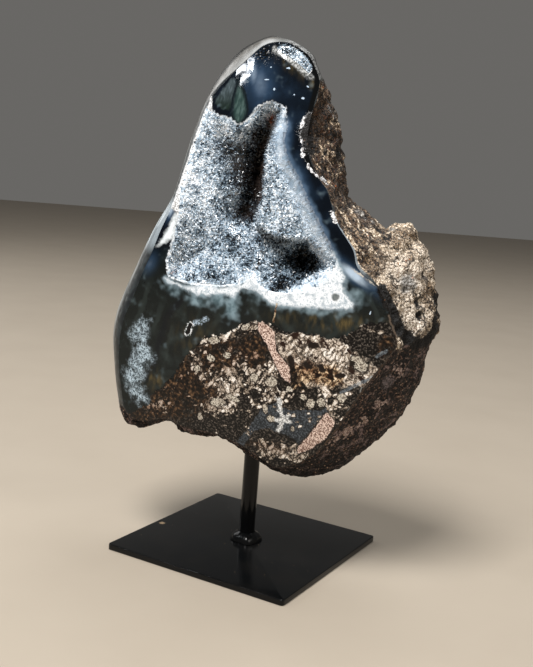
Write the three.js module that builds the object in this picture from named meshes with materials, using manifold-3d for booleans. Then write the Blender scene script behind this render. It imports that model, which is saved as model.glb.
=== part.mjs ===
// Agate geode on a steel stand, in millimetres, +Z up.
// The origin is the middle of the base plate's underside. The polished front faces -Y.

import * as THREE from "three";
import Module from "manifold-3d";
import { mergeVertices } from "three/addons/utils/BufferGeometryUtils.js";

const wasm = await Module();
wasm.setup();

// Stand
const PLATE_SIDE = 100;
const PLATE_THICKNESS = 3;
const PLATE_CORNER_RADIUS = 1.6;
const PLATE_EDGE_BREAK = 0.4;
const PLATE_TURN = THREE.MathUtils.degToRad(-29.5);
const POST_DIAMETER = 8;
const POST_TOP = 68;
const POST_CHAMFER = 0.8;
const WELD_WIDTH = 17;
const WELD_HEIGHT = 4.6;
const WELD_LUMPS = 9;
const WELD_LUMP_DEPTH = 0.9;
const GAP = 0.3;

// Stone: the polished face is a gently domed surface, turned to the left about the post.
const FACE_HUB = { x: -30, z: 128 };
const BACK_HUB = { x: 4, z: 126 };
const FACE_DEPTH = 34;
const FACE_TURN = Math.tan(THREE.MathUtils.degToRad(20));
const FACE_AXIS_X = -5;
const BACK_DEPTH = 32;
const SLAB_TURN = 0.32;
const HUB_HEIGHT = 140;
const HEEL_HEIGHT = 90;
const CAP_LEAN = 0.0014;
const HEEL_LEAN = 0.004;
const BACK_LEAN = 0.001;
const FACE_CROWN = 0.0012;
const CAP_CROWN = 0.012;
const CAP_FROM = 165;
const CAP_TO = 240;
const EDGE_ROUNDNESS = 0.55;
const BACK_FULLNESS = 0.8;

// Around the stone, clockwise from its top as seen from the front. Each station gives the edge of
// the polished face (x, z) and the widest point of the stone behind it (x, y, z).
const STATIONS = [
  [-8, 246.9, -7, -1, 252.5],
  [0.5, 248.5, 0, -2, 252],
  [6, 246.8, 7, -3, 250],
  [12, 243, 14.5, -4, 245],
  [15.2, 238, 16.8, -5, 240],
  [17.6, 232, 21, -5, 232.5],
  [16.5, 224, 25.5, -6, 224],
  [14.8, 215, 29, -7, 214.5],
  [14, 206.5, 31.3, -7, 205.5],
  [15.5, 198, 33.2, -8, 196.5],
  [19.5, 190, 35, -8, 187],
  [24, 184.5, 35.9, -8, 180.5],
  [26.5, 178.5, 38.5, -8, 178],
  [29.5, 170.5, 46, -9, 174],
  [35, 163, 55.8, -11, 167.6],
  [38, 158.5, 59, -11, 169.8],
  [39.8, 152.5, 65.5, -13, 170.6],
  [42.5, 149.2, 69.3, -13, 168.5],
  [45, 147.3, 70.5, -13, 164],
  [47.5, 145.5, 75, -14, 161.8],
  [50.5, 142.6, 78, -15, 154],
  [54.4, 137, 80, -15, 145],
  [57, 130.6, 84.8, -16, 130],
  [58.8, 124, 84, -16, 122],
  [60, 118.5, 80.8, -15, 114],
  [57, 113, 79.4, -15, 107],
  [52.5, 106, 78.5, -15, 98],
  [47, 96.5, 75.5, -14, 89],
  [41, 85, 71.5, -14, 79],
  [37.5, 78, 65, -14, 69.5],
  [31, 66.5, 51.5, -18, 58],
  [26, 61, 41, -20, 50],
  [20, 56, 30, -20, 46],
  [12, 53, 17, -18, 45.2],
  [5.8, 55.5, 8, -16, 48],
  [-1.2, 59.5, -1, -13, 53.4],
  [-10.6, 63, -10.7, -9, 57.5],
  [-20, 65, -20, -6, 59.3],
  [-34, 65.5, -35, -4, 59.3],
  [-43, 68, -43.5, -1, 63],
  [-53, 64.5, -54, -1, 59.2],
  [-60, 64, -62, 1, 58.8],
  [-65, 68.5, -67.5, 4, 62.5],
  [-67.5, 79, -71.7, 9, 76],
  [-69.3, 91, -73.8, 10, 90],
  [-69.5, 104, -75, 10, 103],
  [-67.5, 115, -73.8, 10, 114],
  [-64, 124, -70.5, 9, 124.5],
  [-59.5, 137, -65, 8, 138.5],
  [-55, 148.5, -60.5, 8, 150],
  [-51, 160, -55.5, 7, 161],
  [-45, 174, -48.6, 6, 174.2],
  [-42, 186, -45, 5, 187],
  [-38.5, 201.5, -41, 5, 203],
  [-33.8, 218.5, -36, 4, 219],
  [-26, 229.5, -30, 3, 232],
  [-15.2, 240.6, -20, 1, 245.3],
];
const AROUND = 100;
const FACE_RINGS = 8;
const SIDE_RINGS = 9;
const BACK_RINGS = 10;
// Towards the middle of the back the outline turns into this oval (half width, half height).
const BACK_OVAL = { x: 66, z: 82 };

// Rough skin on the right side, the underside and the back: broad rounded lumps with small
// ones between them, and a ledge where the skin starts behind the polished edge.
const LUMP_SIZE = 28;
const LUMP_HEIGHT = 6;
const SMALL_LUMP_SIZE = 11;
const SMALL_LUMP_HEIGHT = 2.2;
const SIDE_LUMP_SHARE = 0.5;
const MEAN_SEED_DISTANCE = 0.5;
const LEDGE_DEPTH = 5;

// Hollow: outline of its mouth in the polished face (x, z), and its floor.
const HOLLOW_MOUTH = [
  [-34, 218], [-28, 214], [-22, 213], [-18, 210], [-14, 212], [-9, 219], [-3, 221.5], [3, 219],
  [4.5, 212], [3.5, 204], [6, 196], [11, 189], [16, 179], [21, 171], [27, 161], [31, 154],
  [30, 148], [25, 143], [18, 138], [7, 136], [0, 137], [-6, 142], [-12, 138], [-22, 136],
  [-35, 135.5], [-46, 137.5], [-47.5, 145], [-45, 154], [-43.5, 168], [-43, 180], [-40, 196],
];
const HOLLOW_DEPTH = 17;
const HOLLOW_SLOPE = 15;
// The convex bank of crystals on the right of the slot.
const BANK_OUTLINE = [
  [0.8, 215], [-1.5, 206.5], [-3.4, 201.5], [-4.1, 193], [-3.8, 177], [-5.5, 171], [-5.5, 165],
  [-1.5, 162], [4, 160.5], [12, 160], [18, 161.5], [21.5, 158], [26, 154.5], [30, 151], [40, 160],
  [30, 200], [12, 222],
];
const BANK_DEPTH = 4.5;
const BANK_SLOPE = 1.4;
// Deeper places: x, z, depth, half width, half height, lean of the long axis.
const PITS = [
  [-7.4, 190, 15, 4.5, 23, 0.12],
  [18, 149.5, 16, 8, 8.5, 0],
  [-16, 170, 4, 9, 7, 0],
];
const HOLLOW_PITCH = 4.1;

// Small crystal pocket at the top right of the cap.
const CROWN_MOUTH = [
  [-2.6, 247.6], [2, 247.6], [7.3, 245.4], [11.5, 242.2], [14, 238.4], [14.4, 235.6],
  [12.4, 235], [8.6, 238], [4.2, 241.4], [-2.6, 245.2],
];
const CROWN_DEPTH = 3;
const CROWN_SLOPE = 2.5;
const CROWN_PITCH = 1.8;

// Crystal crusts: solid layer, and points standing on it.
const CRUST_THICKNESS = 1.2;
const POINT_HEIGHT = 4;
const LATTICE_JITTER = 0.55;
const LATTICE_MARGIN = 5;
// The crust stops this share of its pitch short of the mouth.
const CRUST_MARGIN = 0.35;

const agate = new THREE.MeshStandardMaterial({ color: 0x2b3440, roughness: 0.25, metalness: 0 });
const quartz = new THREE.MeshStandardMaterial({ color: 0xc9d3da, roughness: 0.35, metalness: 0 });
const blackPaint = new THREE.MeshStandardMaterial({ color: 0x0c0c0e, roughness: 0.2, metalness: 0 });

// Solids

function toSolid(geometry) {
  const bare = geometry.clone();
  bare.deleteAttribute("normal");
  bare.deleteAttribute("uv");
  const merged = mergeVertices(bare, 1e-4);
  return new wasm.Manifold(new wasm.Mesh({
    numProp: 3,
    vertProperties: new Float32Array(merged.attributes.position.array),
    triVerts: new Uint32Array(merged.index.array),
  }));
}

function toGeometry(solid) {
  const mesh = solid.getMesh();
  const geometry = new THREE.BufferGeometry();
  geometry.setAttribute("position", new THREE.BufferAttribute(mesh.vertProperties, 3));
  geometry.setIndex(new THREE.BufferAttribute(mesh.triVerts, 1));
  geometry.computeVertexNormals();
  return geometry;
}

function namedMesh(name, geometry, material) {
  const mesh = new THREE.Mesh(geometry, material);
  mesh.name = name;
  return mesh;
}

// Small repeatable number from 0 to 1 for each place.
function chance(a, b) {
  const wave = Math.sin(a * 12.9898 + b * 78.233) * 43758.5453;
  return wave - Math.floor(wave);
}

// Stone body

function faceY(x, z) {
  const lean = CAP_LEAN * Math.max(0, z - HUB_HEIGHT) ** 2 + HEEL_LEAN * Math.max(0, HEEL_HEIGHT - z) ** 2;
  const crown = FACE_CROWN + CAP_CROWN * THREE.MathUtils.smoothstep(z, CAP_FROM, CAP_TO);
  return -FACE_DEPTH - FACE_TURN * x + lean + crown * (x - FACE_AXIS_X) ** 2;
}

function backY(x, z) {
  return BACK_DEPTH - SLAB_TURN * x - BACK_LEAN * Math.max(0, z - HUB_HEIGHT) ** 2;
}

// How broken the surface is, by the direction seen from the middle of the stone.
function roughness(x, z) {
  const beside = THREE.MathUtils.smoothstep(x, 9, 14);
  const above = THREE.MathUtils.smoothstep(x, 14, 30);
  const right = THREE.MathUtils.lerp(beside, above, THREE.MathUtils.smoothstep(z, 226, 236));
  const low = THREE.MathUtils.smoothstep(-z, -75, -62);
  return Math.max(right, low);
}

// Distance to the nearest of many scattered points, one in each unit cube.
function nearestSeed(x, y, z) {
  let nearest = Infinity;
  for (let i = Math.floor(x) - 1; i <= Math.floor(x) + 1; i += 1) {
    for (let j = Math.floor(y) - 1; j <= Math.floor(y) + 1; j += 1) {
      for (let k = Math.floor(z) - 1; k <= Math.floor(z) + 1; k += 1) {
        const dx = i + chance(i + 7 * j, k) - x;
        const dy = j + chance(j + 7 * k, i + 30) - y;
        const dz = k + chance(k + 7 * i, j + 60) - z;
        nearest = Math.min(nearest, Math.hypot(dx, dy, dz));
      }
    }
  }
  return nearest;
}

function lump({ x, y, z }, size, height) {
  return height * (MEAN_SEED_DISTANCE - nearestSeed(x / size, y / size, z / size));
}

function stoneBody() {
  const edgeCurve = closedCurve(STATIONS.map(([x, z]) => [x, 0, z]));
  const rimCurve = closedCurve(STATIONS.map((station) => station.slice(2)));
  const rings = FACE_RINGS + SIDE_RINGS + BACK_RINGS;
  const geometry = new THREE.SphereGeometry(1, AROUND, rings);
  const { position, uv } = geometry.attributes;
  for (let i = 0; i < position.count; i += 1) {
    const along = rimCurve.getUtoTmapping((uv.getX(i) + 1) % 1);
    const ring = Math.round(uv.getY(i) * rings);
    const point = stonePoint(edgeCurve.getPoint(along), rimCurve.getPoint(along), ring);
    position.setXYZ(i, point.x, point.y, point.z);
  }
  return toSolid(geometry);
}

function closedCurve(points) {
  const vectors = points.map(([x, y, z]) => new THREE.Vector3(x, y, z));
  return new THREE.CatmullRomCurve3(vectors, true, "catmullrom", 0.5);
}

// A point on the line that runs from the middle of the face, over its edge and the widest
// point, to the middle of the back.
function stonePoint(edge, rim, ring) {
  if (ring <= FACE_RINGS) {
    return facePoint(edge, ring / FACE_RINGS);
  }
  if (ring <= FACE_RINGS + SIDE_RINGS) {
    return sidePoint(edge, rim, (ring - FACE_RINGS) / SIDE_RINGS);
  }
  return backPoint(rim, (ring - FACE_RINGS - SIDE_RINGS) / BACK_RINGS);
}

function facePoint(edge, part) {
  const x = THREE.MathUtils.lerp(FACE_HUB.x, edge.x, part);
  const z = THREE.MathUtils.lerp(FACE_HUB.z, edge.z, part);
  return new THREE.Vector3(x, faceY(x, z), z);
}

function sidePoint(edge, rim, part) {
  const turn = part * Math.PI / 2;
  const out = THREE.MathUtils.lerp(part, Math.sin(turn), EDGE_ROUNDNESS);
  const back = THREE.MathUtils.lerp(part, 1 - Math.cos(turn), EDGE_ROUNDNESS);
  const x = THREE.MathUtils.lerp(edge.x, rim.x, out);
  const z = THREE.MathUtils.lerp(edge.z, rim.z, out);
  const rough = roughness(x, z);
  const ledge = LEDGE_DEPTH * rough * THREE.MathUtils.smoothstep(part, 0, 0.3) * (1 - part);
  const y = THREE.MathUtils.lerp(faceY(edge.x, edge.z), rim.y, back) + ledge;
  const point = new THREE.Vector3(x, y, z);
  const share = rough * Math.sin(part * Math.PI);
  const small = lump(point, SMALL_LUMP_SIZE, SMALL_LUMP_HEIGHT);
  return pushOut(point, share * (SIDE_LUMP_SHARE * lump(point, LUMP_SIZE, LUMP_HEIGHT) + small));
}

function backPoint(rim, part) {
  const turn = part * Math.PI / 2;
  const spread = Math.max(0, Math.cos(turn)) ** BACK_FULLNESS;
  const rise = Math.sin(turn) ** BACK_FULLNESS;
  const angle = Math.atan2((rim.z - BACK_HUB.z) / BACK_OVAL.z, (rim.x - BACK_HUB.x) / BACK_OVAL.x);
  const ovalShare = THREE.MathUtils.smoothstep(part, 0, 0.7);
  const outX = THREE.MathUtils.lerp(rim.x - BACK_HUB.x, BACK_OVAL.x * Math.cos(angle), ovalShare);
  const outZ = THREE.MathUtils.lerp(rim.z - BACK_HUB.z, BACK_OVAL.z * Math.sin(angle), ovalShare);
  const x = BACK_HUB.x + spread * outX;
  const z = BACK_HUB.z + spread * outZ;
  const y = THREE.MathUtils.lerp(rim.y, backY(x, z), rise);
  const point = new THREE.Vector3(x, y, z);
  const small = spread * lump(point, SMALL_LUMP_SIZE, SMALL_LUMP_HEIGHT);
  const calm = THREE.MathUtils.smoothstep(spread, 0, 0.8);
  return pushOut(point, rise * calm * (lump(point, LUMP_SIZE, LUMP_HEIGHT) + small));
}

function pushOut(point, amount) {
  const outward = new THREE.Vector3(point.x - BACK_HUB.x, 2.5 * point.y, point.z - BACK_HUB.z);
  return point.addScaledVector(outward.normalize(), amount);
}

// Hollows

// Distance from an outline, positive inside it.
function inside(outline, x, z) {
  let nearest = Infinity;
  let within = false;
  for (let i = 0, j = outline.length - 1; i < outline.length; j = i, i += 1) {
    const [ax, az] = outline[j];
    const [bx, bz] = outline[i];
    const along = ((x - ax) * (bx - ax) + (z - az) * (bz - az)) / ((bx - ax) ** 2 + (bz - az) ** 2);
    const t = THREE.MathUtils.clamp(along, 0, 1);
    nearest = Math.min(nearest, Math.hypot(x - ax - t * (bx - ax), z - az - t * (bz - az)));
    if ((az > z) !== (bz > z) && x < ax + (bx - ax) * (z - az) / (bz - az)) {
      within = !within;
    }
  }
  return within ? nearest : -nearest;
}

// Depth below the polished face: it falls away from the mouth's edge and is negative outside it.
function dish(outline, depth, slope, x, z) {
  const from = inside(outline, x, z);
  return from < 0 ? 1.5 * from : depth * (1 - Math.exp(-from / slope));
}

function hollowDepth(x, z) {
  const open = dish(HOLLOW_MOUTH, HOLLOW_DEPTH, HOLLOW_SLOPE, x, z);
  if (open <= 0) {
    return open;
  }
  let floor = open;
  for (const [px, pz, depth, halfWidth, halfHeight, lean] of PITS) {
    const dx = (x - px - lean * (z - pz)) / halfWidth;
    const dz = (z - pz) / halfHeight;
    floor += depth * Math.exp(-dx * dx - dz * dz) * Math.min(1, open / 4);
  }
  const bank = Math.min(open, BANK_DEPTH);
  const share = THREE.MathUtils.smoothstep(inside(BANK_OUTLINE, x, z), -BANK_SLOPE, BANK_SLOPE);
  return THREE.MathUtils.lerp(floor, bank, share);
}

function crownDepth(x, z) {
  return dish(CROWN_MOUTH, CROWN_DEPTH, CROWN_SLOPE, x, z);
}

// Corners of the triangles of a lattice that lie where keep(x, z) says.
function lattice(outline, pitch, keep) {
  const box = new THREE.Box2().setFromPoints(outline.map(([x, z]) => new THREE.Vector2(x, z)));
  box.expandByScalar(LATTICE_MARGIN);
  const rowStep = pitch * Math.sqrt(3) / 2;
  const columns = Math.ceil((box.max.x - box.min.x) / pitch) + 1;
  const rows = Math.ceil((box.max.y - box.min.y) / rowStep);
  const corner = (column, row) => {
    const key = [column, row];
    const shift = 0.5 * (row % 2);
    const x = box.min.x + (column + shift + LATTICE_JITTER * (chance(column, row) - 0.5)) * pitch;
    const z = box.min.y + (row + LATTICE_JITTER * (chance(row + 40, column) - 0.5)) * rowStep;
    return { key: key.join(","), x, z };
  };
  const triangles = [];
  for (let row = 0; row < rows; row += 1) {
    for (let column = 0; column < columns; column += 1) {
      const a = corner(column, row);
      const b = corner(column + 1, row);
      const c = corner(column, row + 1);
      const d = corner(column + 1, row + 1);
      const cells = row % 2 ? [[a, b, d], [a, d, c]] : [[a, b, c], [b, d, c]];
      for (const cell of cells) {
        const x = (cell[0].x + cell[1].x + cell[2].x) / 3;
        const z = (cell[0].z + cell[1].z + cell[2].z) / 3;
        if (keep(x, z)) {
          triangles.push(cell);
        }
      }
    }
  }
  return triangles;
}

// Closed slab over lattice triangles, from front(x, z) to back(x, z). Where pointTip is given,
// each front triangle is raised to the crystal point that it names.
function latticeSlab(triangles, front, back, pointTip) {
  const positions = [];
  const face = (...corners) => corners.forEach((corner) => positions.push(...corner));
  const edges = new Map();
  for (const cell of triangles) {
    const near = cell.map(({ x, z }) => [x, front(x, z), z]);
    const far = cell.map(({ x, z }) => [x, back(x, z), z]);
    face(far[0], far[2], far[1]);
    if (pointTip) {
      const tip = pointTip(cell);
      face(near[0], near[1], tip);
      face(near[1], near[2], tip);
      face(near[2], near[0], tip);
    } else {
      face(...near);
    }
    for (let i = 0; i < 3; i += 1) {
      const from = cell[i];
      const to = cell[(i + 1) % 3];
      const twin = `${to.key}|${from.key}`;
      if (edges.has(twin)) {
        edges.delete(twin);
      } else {
        edges.set(`${from.key}|${to.key}`, [near[i], near[(i + 1) % 3], far[i], far[(i + 1) % 3]]);
      }
    }
  }
  for (const [nearFrom, nearTo, farFrom, farTo] of edges.values()) {
    face(nearFrom, farTo, nearTo);
    face(nearFrom, farFrom, farTo);
  }
  const geometry = new THREE.BufferGeometry();
  geometry.setAttribute("position", new THREE.Float32BufferAttribute(positions, 3));
  return geometry;
}

function hollowCutter(outline, pitch, depthAt) {
  const keep = (x, z) => inside(outline, x, z) > -LATTICE_MARGIN;
  const triangles = lattice(outline, pitch, keep);
  const lid = () => -2.5 * FACE_DEPTH;
  return toSolid(latticeSlab(triangles, lid, (x, z) => faceY(x, z) + depthAt(x, z)));
}

function crystalCrust(outline, pitch, depthAt, pointHeight) {
  const keep = (x, z) => inside(outline, x, z) > CRUST_MARGIN * pitch;
  const triangles = lattice(outline, pitch, keep);
  const back = (x, z) => faceY(x, z) + depthAt(x, z) - GAP;
  const front = (x, z) => back(x, z) - CRUST_THICKNESS;
  const tip = (cell) => {
    const shares = cell.map(({ x, z }) => 0.25 + chance(x, z + cell[0].x));
    const total = shares[0] + shares[1] + shares[2];
    const mean = (values) => values.reduce((sum, value, i) => sum + value * shares[i] / total, 0);
    const x = mean(cell.map((corner) => corner.x));
    const z = mean(cell.map((corner) => corner.z));
    const room = THREE.MathUtils.smoothstep(depthAt(x, z), 0, 2 * pointHeight);
    const height = pointHeight * (0.2 + 0.8 * chance(x, z)) * (0.3 + 0.7 * room);
    return [x, mean(cell.map((corner) => front(corner.x, corner.z))) - height, z];
  };
  return toGeometry(toSolid(latticeSlab(triangles, front, back, tip)));
}

// Stone with its hollows and the blind hole for the post

function geodeStone() {
  const hole = new THREE.CylinderGeometry(POST_DIAMETER / 2 + GAP, POST_DIAMETER / 2 + GAP, POST_TOP, 24);
  hole.rotateX(Math.PI / 2);
  hole.translate(0, 0, POST_TOP / 2 + GAP);
  const solid = stoneBody()
    .subtract(hollowCutter(HOLLOW_MOUTH, HOLLOW_PITCH, hollowDepth))
    .subtract(hollowCutter(CROWN_MOUTH, CROWN_PITCH, crownDepth))
    .subtract(toSolid(hole));
  return namedMesh("geode_stone", toGeometry(solid), agate);
}

function quartzDruse() {
  const geometry = crystalCrust(HOLLOW_MOUTH, HOLLOW_PITCH, hollowDepth, POINT_HEIGHT);
  return namedMesh("quartz_druse", geometry, quartz);
}

function crownDruse() {
  const geometry = crystalCrust(CROWN_MOUTH, CROWN_PITCH, crownDepth, POINT_HEIGHT / 2);
  return namedMesh("crown_druse", geometry, quartz);
}

// Stand

function basePlate() {
  const half = PLATE_SIDE / 2 - PLATE_EDGE_BREAK;
  const radius = PLATE_CORNER_RADIUS - PLATE_EDGE_BREAK;
  const outline = new THREE.Shape();
  outline.moveTo(-half + radius, -half);
  outline.absarc(half - radius, -half + radius, radius, -Math.PI / 2, 0);
  outline.absarc(half - radius, half - radius, radius, 0, Math.PI / 2);
  outline.absarc(-half + radius, half - radius, radius, Math.PI / 2, Math.PI);
  outline.absarc(-half + radius, -half + radius, radius, Math.PI, 1.5 * Math.PI);
  const geometry = new THREE.ExtrudeGeometry(outline, {
    depth: PLATE_THICKNESS - 2 * PLATE_EDGE_BREAK,
    bevelThickness: PLATE_EDGE_BREAK,
    bevelSize: PLATE_EDGE_BREAK,
    bevelSegments: 1,
    curveSegments: 4,
  });
  const plate = namedMesh("base_plate", geometry, blackPaint);
  plate.position.z = PLATE_EDGE_BREAK;
  plate.rotation.z = PLATE_TURN;
  return plate;
}

function post() {
  const radius = POST_DIAMETER / 2;
  const foot = PLATE_THICKNESS + GAP;
  const profile = [
    new THREE.Vector2(0, 0),
    new THREE.Vector2(radius, 0),
    new THREE.Vector2(radius, POST_TOP - foot - POST_CHAMFER),
    new THREE.Vector2(radius - POST_CHAMFER, POST_TOP - foot),
    new THREE.Vector2(0, POST_TOP - foot),
  ];
  const rod = namedMesh("post", new THREE.LatheGeometry(profile, 24), blackPaint);
  rod.rotation.x = Math.PI / 2;
  rod.position.z = foot;
  return rod;
}

function weldBead() {
  const inner = POST_DIAMETER / 2 + GAP;
  const outer = WELD_WIDTH / 2 - WELD_LUMP_DEPTH;
  const profile = [
    new THREE.Vector2(inner, 0),
    new THREE.Vector2(outer, 0),
    new THREE.Vector2(outer - 1.6, 3),
    new THREE.Vector2(inner + 0.9, WELD_HEIGHT - 0.4),
    new THREE.Vector2(inner, WELD_HEIGHT),
    new THREE.Vector2(inner, 0),
  ];
  const geometry = new THREE.LatheGeometry(profile, 30);
  const { position } = geometry.attributes;
  for (let i = 0; i < position.count; i += 1) {
    const x = position.getX(i);
    const z = position.getZ(i);
    const radius = Math.hypot(x, z);
    const share = (radius - inner) / (outer - inner);
    const angle = Math.atan2(z, x);
    const swell = 0.6 * Math.sin(WELD_LUMPS * angle) + 0.4 * Math.sin(4 * angle + 1);
    const scale = 1 + share * WELD_LUMP_DEPTH * swell / outer;
    position.setXYZ(i, x * scale, position.getY(i), z * scale);
  }
  const bead = namedMesh("weld_bead", geometry, blackPaint);
  bead.rotation.x = Math.PI / 2;
  bead.position.z = PLATE_THICKNESS + GAP;
  return bead;
}

const geode = new THREE.Group();
geode.add(basePlate(), post(), weldBead(), geodeStone(), quartzDruse(), crownDruse());

export default geode;
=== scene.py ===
import math

import bmesh
import bpy
import numpy as np
from mathutils import Matrix, Vector, noise


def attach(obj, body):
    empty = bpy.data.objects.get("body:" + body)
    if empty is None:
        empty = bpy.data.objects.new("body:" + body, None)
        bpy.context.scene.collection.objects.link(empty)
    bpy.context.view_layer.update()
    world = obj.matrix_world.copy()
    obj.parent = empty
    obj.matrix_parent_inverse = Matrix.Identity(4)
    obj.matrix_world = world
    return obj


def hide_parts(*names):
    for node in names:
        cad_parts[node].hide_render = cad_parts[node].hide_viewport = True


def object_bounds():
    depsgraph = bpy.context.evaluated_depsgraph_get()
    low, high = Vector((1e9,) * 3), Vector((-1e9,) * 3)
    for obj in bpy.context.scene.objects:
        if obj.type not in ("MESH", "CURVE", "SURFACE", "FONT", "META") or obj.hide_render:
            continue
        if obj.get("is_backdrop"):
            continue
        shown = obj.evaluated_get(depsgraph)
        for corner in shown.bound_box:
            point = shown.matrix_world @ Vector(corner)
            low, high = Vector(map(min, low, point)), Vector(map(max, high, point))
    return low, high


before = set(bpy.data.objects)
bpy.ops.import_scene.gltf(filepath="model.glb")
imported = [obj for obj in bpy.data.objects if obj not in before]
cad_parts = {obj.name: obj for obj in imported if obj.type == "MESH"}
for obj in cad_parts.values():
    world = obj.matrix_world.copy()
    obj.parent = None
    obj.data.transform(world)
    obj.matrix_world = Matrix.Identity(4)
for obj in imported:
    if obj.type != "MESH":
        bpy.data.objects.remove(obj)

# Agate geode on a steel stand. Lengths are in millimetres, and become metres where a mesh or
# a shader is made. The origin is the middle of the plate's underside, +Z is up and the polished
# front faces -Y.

cad_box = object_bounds()
MM = 0.001

# Stand
PLATE_SIDE = 100
PLATE_THICKNESS = 3
PLATE_CORNER_RADIUS = 1.6
PLATE_EDGE_BREAK = 0.4
PLATE_TURN = math.radians(-29.5)
SMUDGE = (-45, 13.9, 3)
POST_DIAMETER = 8
POST_TOP = 68
POST_CHAMFER = 0.8
WELD_WIDTH = 17
WELD_HEIGHT = 4.6
WELD_BULGE = 0.7
WELD_SHRINK = 0.9
WELD_RIPPLES = 17
GAP = 0.3
CREASE_ANGLE = math.radians(35)
# Less than this, in metres, is no distance.
LEVEL = 1e-6

# Stone: the polished face is a gently domed surface, turned to the left about the post.
FACE_HUB = (-30, 128)
BACK_HUB = (4, 126)
FACE_DEPTH = 34
FACE_TURN = math.tan(math.radians(20))
FACE_AXIS_X = -5
BACK_DEPTH = 32
SLAB_TURN = 0.32
HUB_HEIGHT = 140
HEEL_HEIGHT = 90
CAP_LEAN = 0.0014
HEEL_LEAN = 0.004
BACK_LEAN = 0.001
FACE_CROWN = 0.0012
CAP_CROWN = 0.012
CAP_FROM = 165
CAP_TO = 240
EDGE_ROUNDNESS = 0.55
BACK_FULLNESS = 0.8
BACK_OVAL = (66, 82)

# Around the stone, clockwise from its top as seen from the front. Each station gives the edge
# of the polished face (x, z) and the widest point of the stone behind it (x, y, z).
STATIONS = [
    (-8, 246.9, -7, -1, 252.5),
    (0.5, 248.5, 0, -2, 252),
    (6, 246.8, 7, -3, 250),
    (12, 243, 14.5, -4, 245),
    (15.2, 238, 16.8, -5, 240),
    (17.6, 232, 21, -5, 232.5),
    (16.5, 224, 25.5, -6, 224),
    (14.8, 215, 29, -7, 214.5),
    (14, 206.5, 31.3, -7, 205.5),
    (15.5, 198, 33.2, -8, 196.5),
    (19.5, 190, 35, -8, 187),
    (24, 184.5, 35.9, -8, 180.5),
    (26.5, 178.5, 38.5, -8, 178),
    (29.5, 170.5, 46, -9, 174),
    (35, 163, 55.8, -11, 167.6),
    (38, 158.5, 59, -11, 169.8),
    (39.8, 152.5, 65.5, -13, 170.6),
    (42.5, 149.2, 69.3, -13, 168.5),
    (45, 147.3, 70.5, -13, 164),
    (47.5, 145.5, 75, -14, 161.8),
    (50.5, 142.6, 78, -15, 154),
    (54.4, 137, 80, -15, 145),
    (57, 130.6, 84.8, -16, 130),
    (58.8, 124, 84, -16, 122),
    (60, 118.5, 80.8, -15, 114),
    (57, 113, 79.4, -15, 107),
    (52.5, 106, 78.5, -15, 98),
    (47, 96.5, 75.5, -14, 89),
    (41, 85, 71.5, -14, 79),
    (37.5, 78, 65, -14, 69.5),
    (31, 66.5, 51.5, -18, 58),
    (26, 61, 41, -20, 50),
    (20, 56, 30, -20, 46),
    (12, 53, 17, -18, 45.2),
    (5.8, 55.5, 8, -16, 48),
    (-1.2, 59.5, -1, -13, 53.4),
    (-10.6, 63, -10.7, -9, 57.5),
    (-20, 65, -20, -6, 59.3),
    (-34, 65.5, -35, -4, 59.3),
    (-43, 68, -43.5, -1, 63),
    (-53, 64.5, -54, -1, 59.2),
    (-60, 64, -62, 1, 58.8),
    (-65, 68.5, -67.5, 4, 62.5),
    (-67.5, 79, -71.7, 9, 76),
    (-69.3, 91, -73.8, 10, 90),
    (-69.5, 104, -75, 10, 103),
    (-67.5, 115, -73.8, 10, 114),
    (-64, 124, -70.5, 9, 124.5),
    (-59.5, 137, -65, 8, 138.5),
    (-55, 148.5, -60.5, 8, 150),
    (-51, 160, -55.5, 7, 161),
    (-45, 174, -48.6, 6, 174.2),
    (-42, 186, -45, 5, 187),
    (-38.5, 201.5, -41, 5, 203),
    (-33.8, 218.5, -36, 4, 219),
    (-26, 229.5, -30, 3, 232),
    (-15.2, 240.6, -20, 1, 245.3),
]
AROUND = 600
FACE_RINGS = 58
SIDE_RINGS = 60
BACK_RINGS = 46

# Rough skin behind the polished edge: from which x to which x it sets in, below and on the cap,
# the heights between which the one gives way to the other, and the heights between which it sets
# in underneath.
BROKEN_SIDE = (9, 14)
BROKEN_CAP = (14, 30)
BROKEN_CHANGE = (226, 236)
BROKEN_UNDER = (75, 62)
# The height from which it is tan rind and not basalt, at the side and at the back, and how far up
# and down that border wanders.
TAN_FROM = (118, 104)
TAN_WANDER = (5, 14)
TAN_WANDER_SIZE = 18
# Broad rounded lumps with small ones between them, and a ledge behind the polished edge.
LUMP_SIZE = 28
LUMP_HEIGHT = 6
SMALL_LUMP_SIZE = 11
SMALL_LUMP_HEIGHT = 2.2
SIDE_LUMP_SHARE = 0.5
MEAN_SEED_DISTANCE = 0.5
LEDGE_DEPTH = 5
COBBLE_SIZE = 7
COBBLE_HEIGHT = 2.4
CRUMB_SIZE = 2.6
CRUMB_HEIGHT = 0.9
GAP_SINK = 1.5

# Hollow: outline of its mouth in the polished face (x, z), and its floor.
HOLLOW_MOUTH = [
    (-34, 218), (-28, 214), (-22, 213), (-18, 210), (-14, 212), (-9, 219), (-3, 221.5), (3, 219),
    (4.5, 212), (3.5, 204), (6, 196), (11, 189), (16, 179), (21, 171), (27, 161), (31, 154),
    (30, 148), (25, 143), (18, 138), (7, 136), (0, 137), (-6, 142), (-12, 138), (-22, 136),
    (-35, 135.5), (-46, 137.5), (-47.5, 145), (-45, 154), (-43.5, 168), (-43, 180), (-40, 196),
]
HOLLOW_DEPTH = 17
HOLLOW_SLOPE = 15
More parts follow.
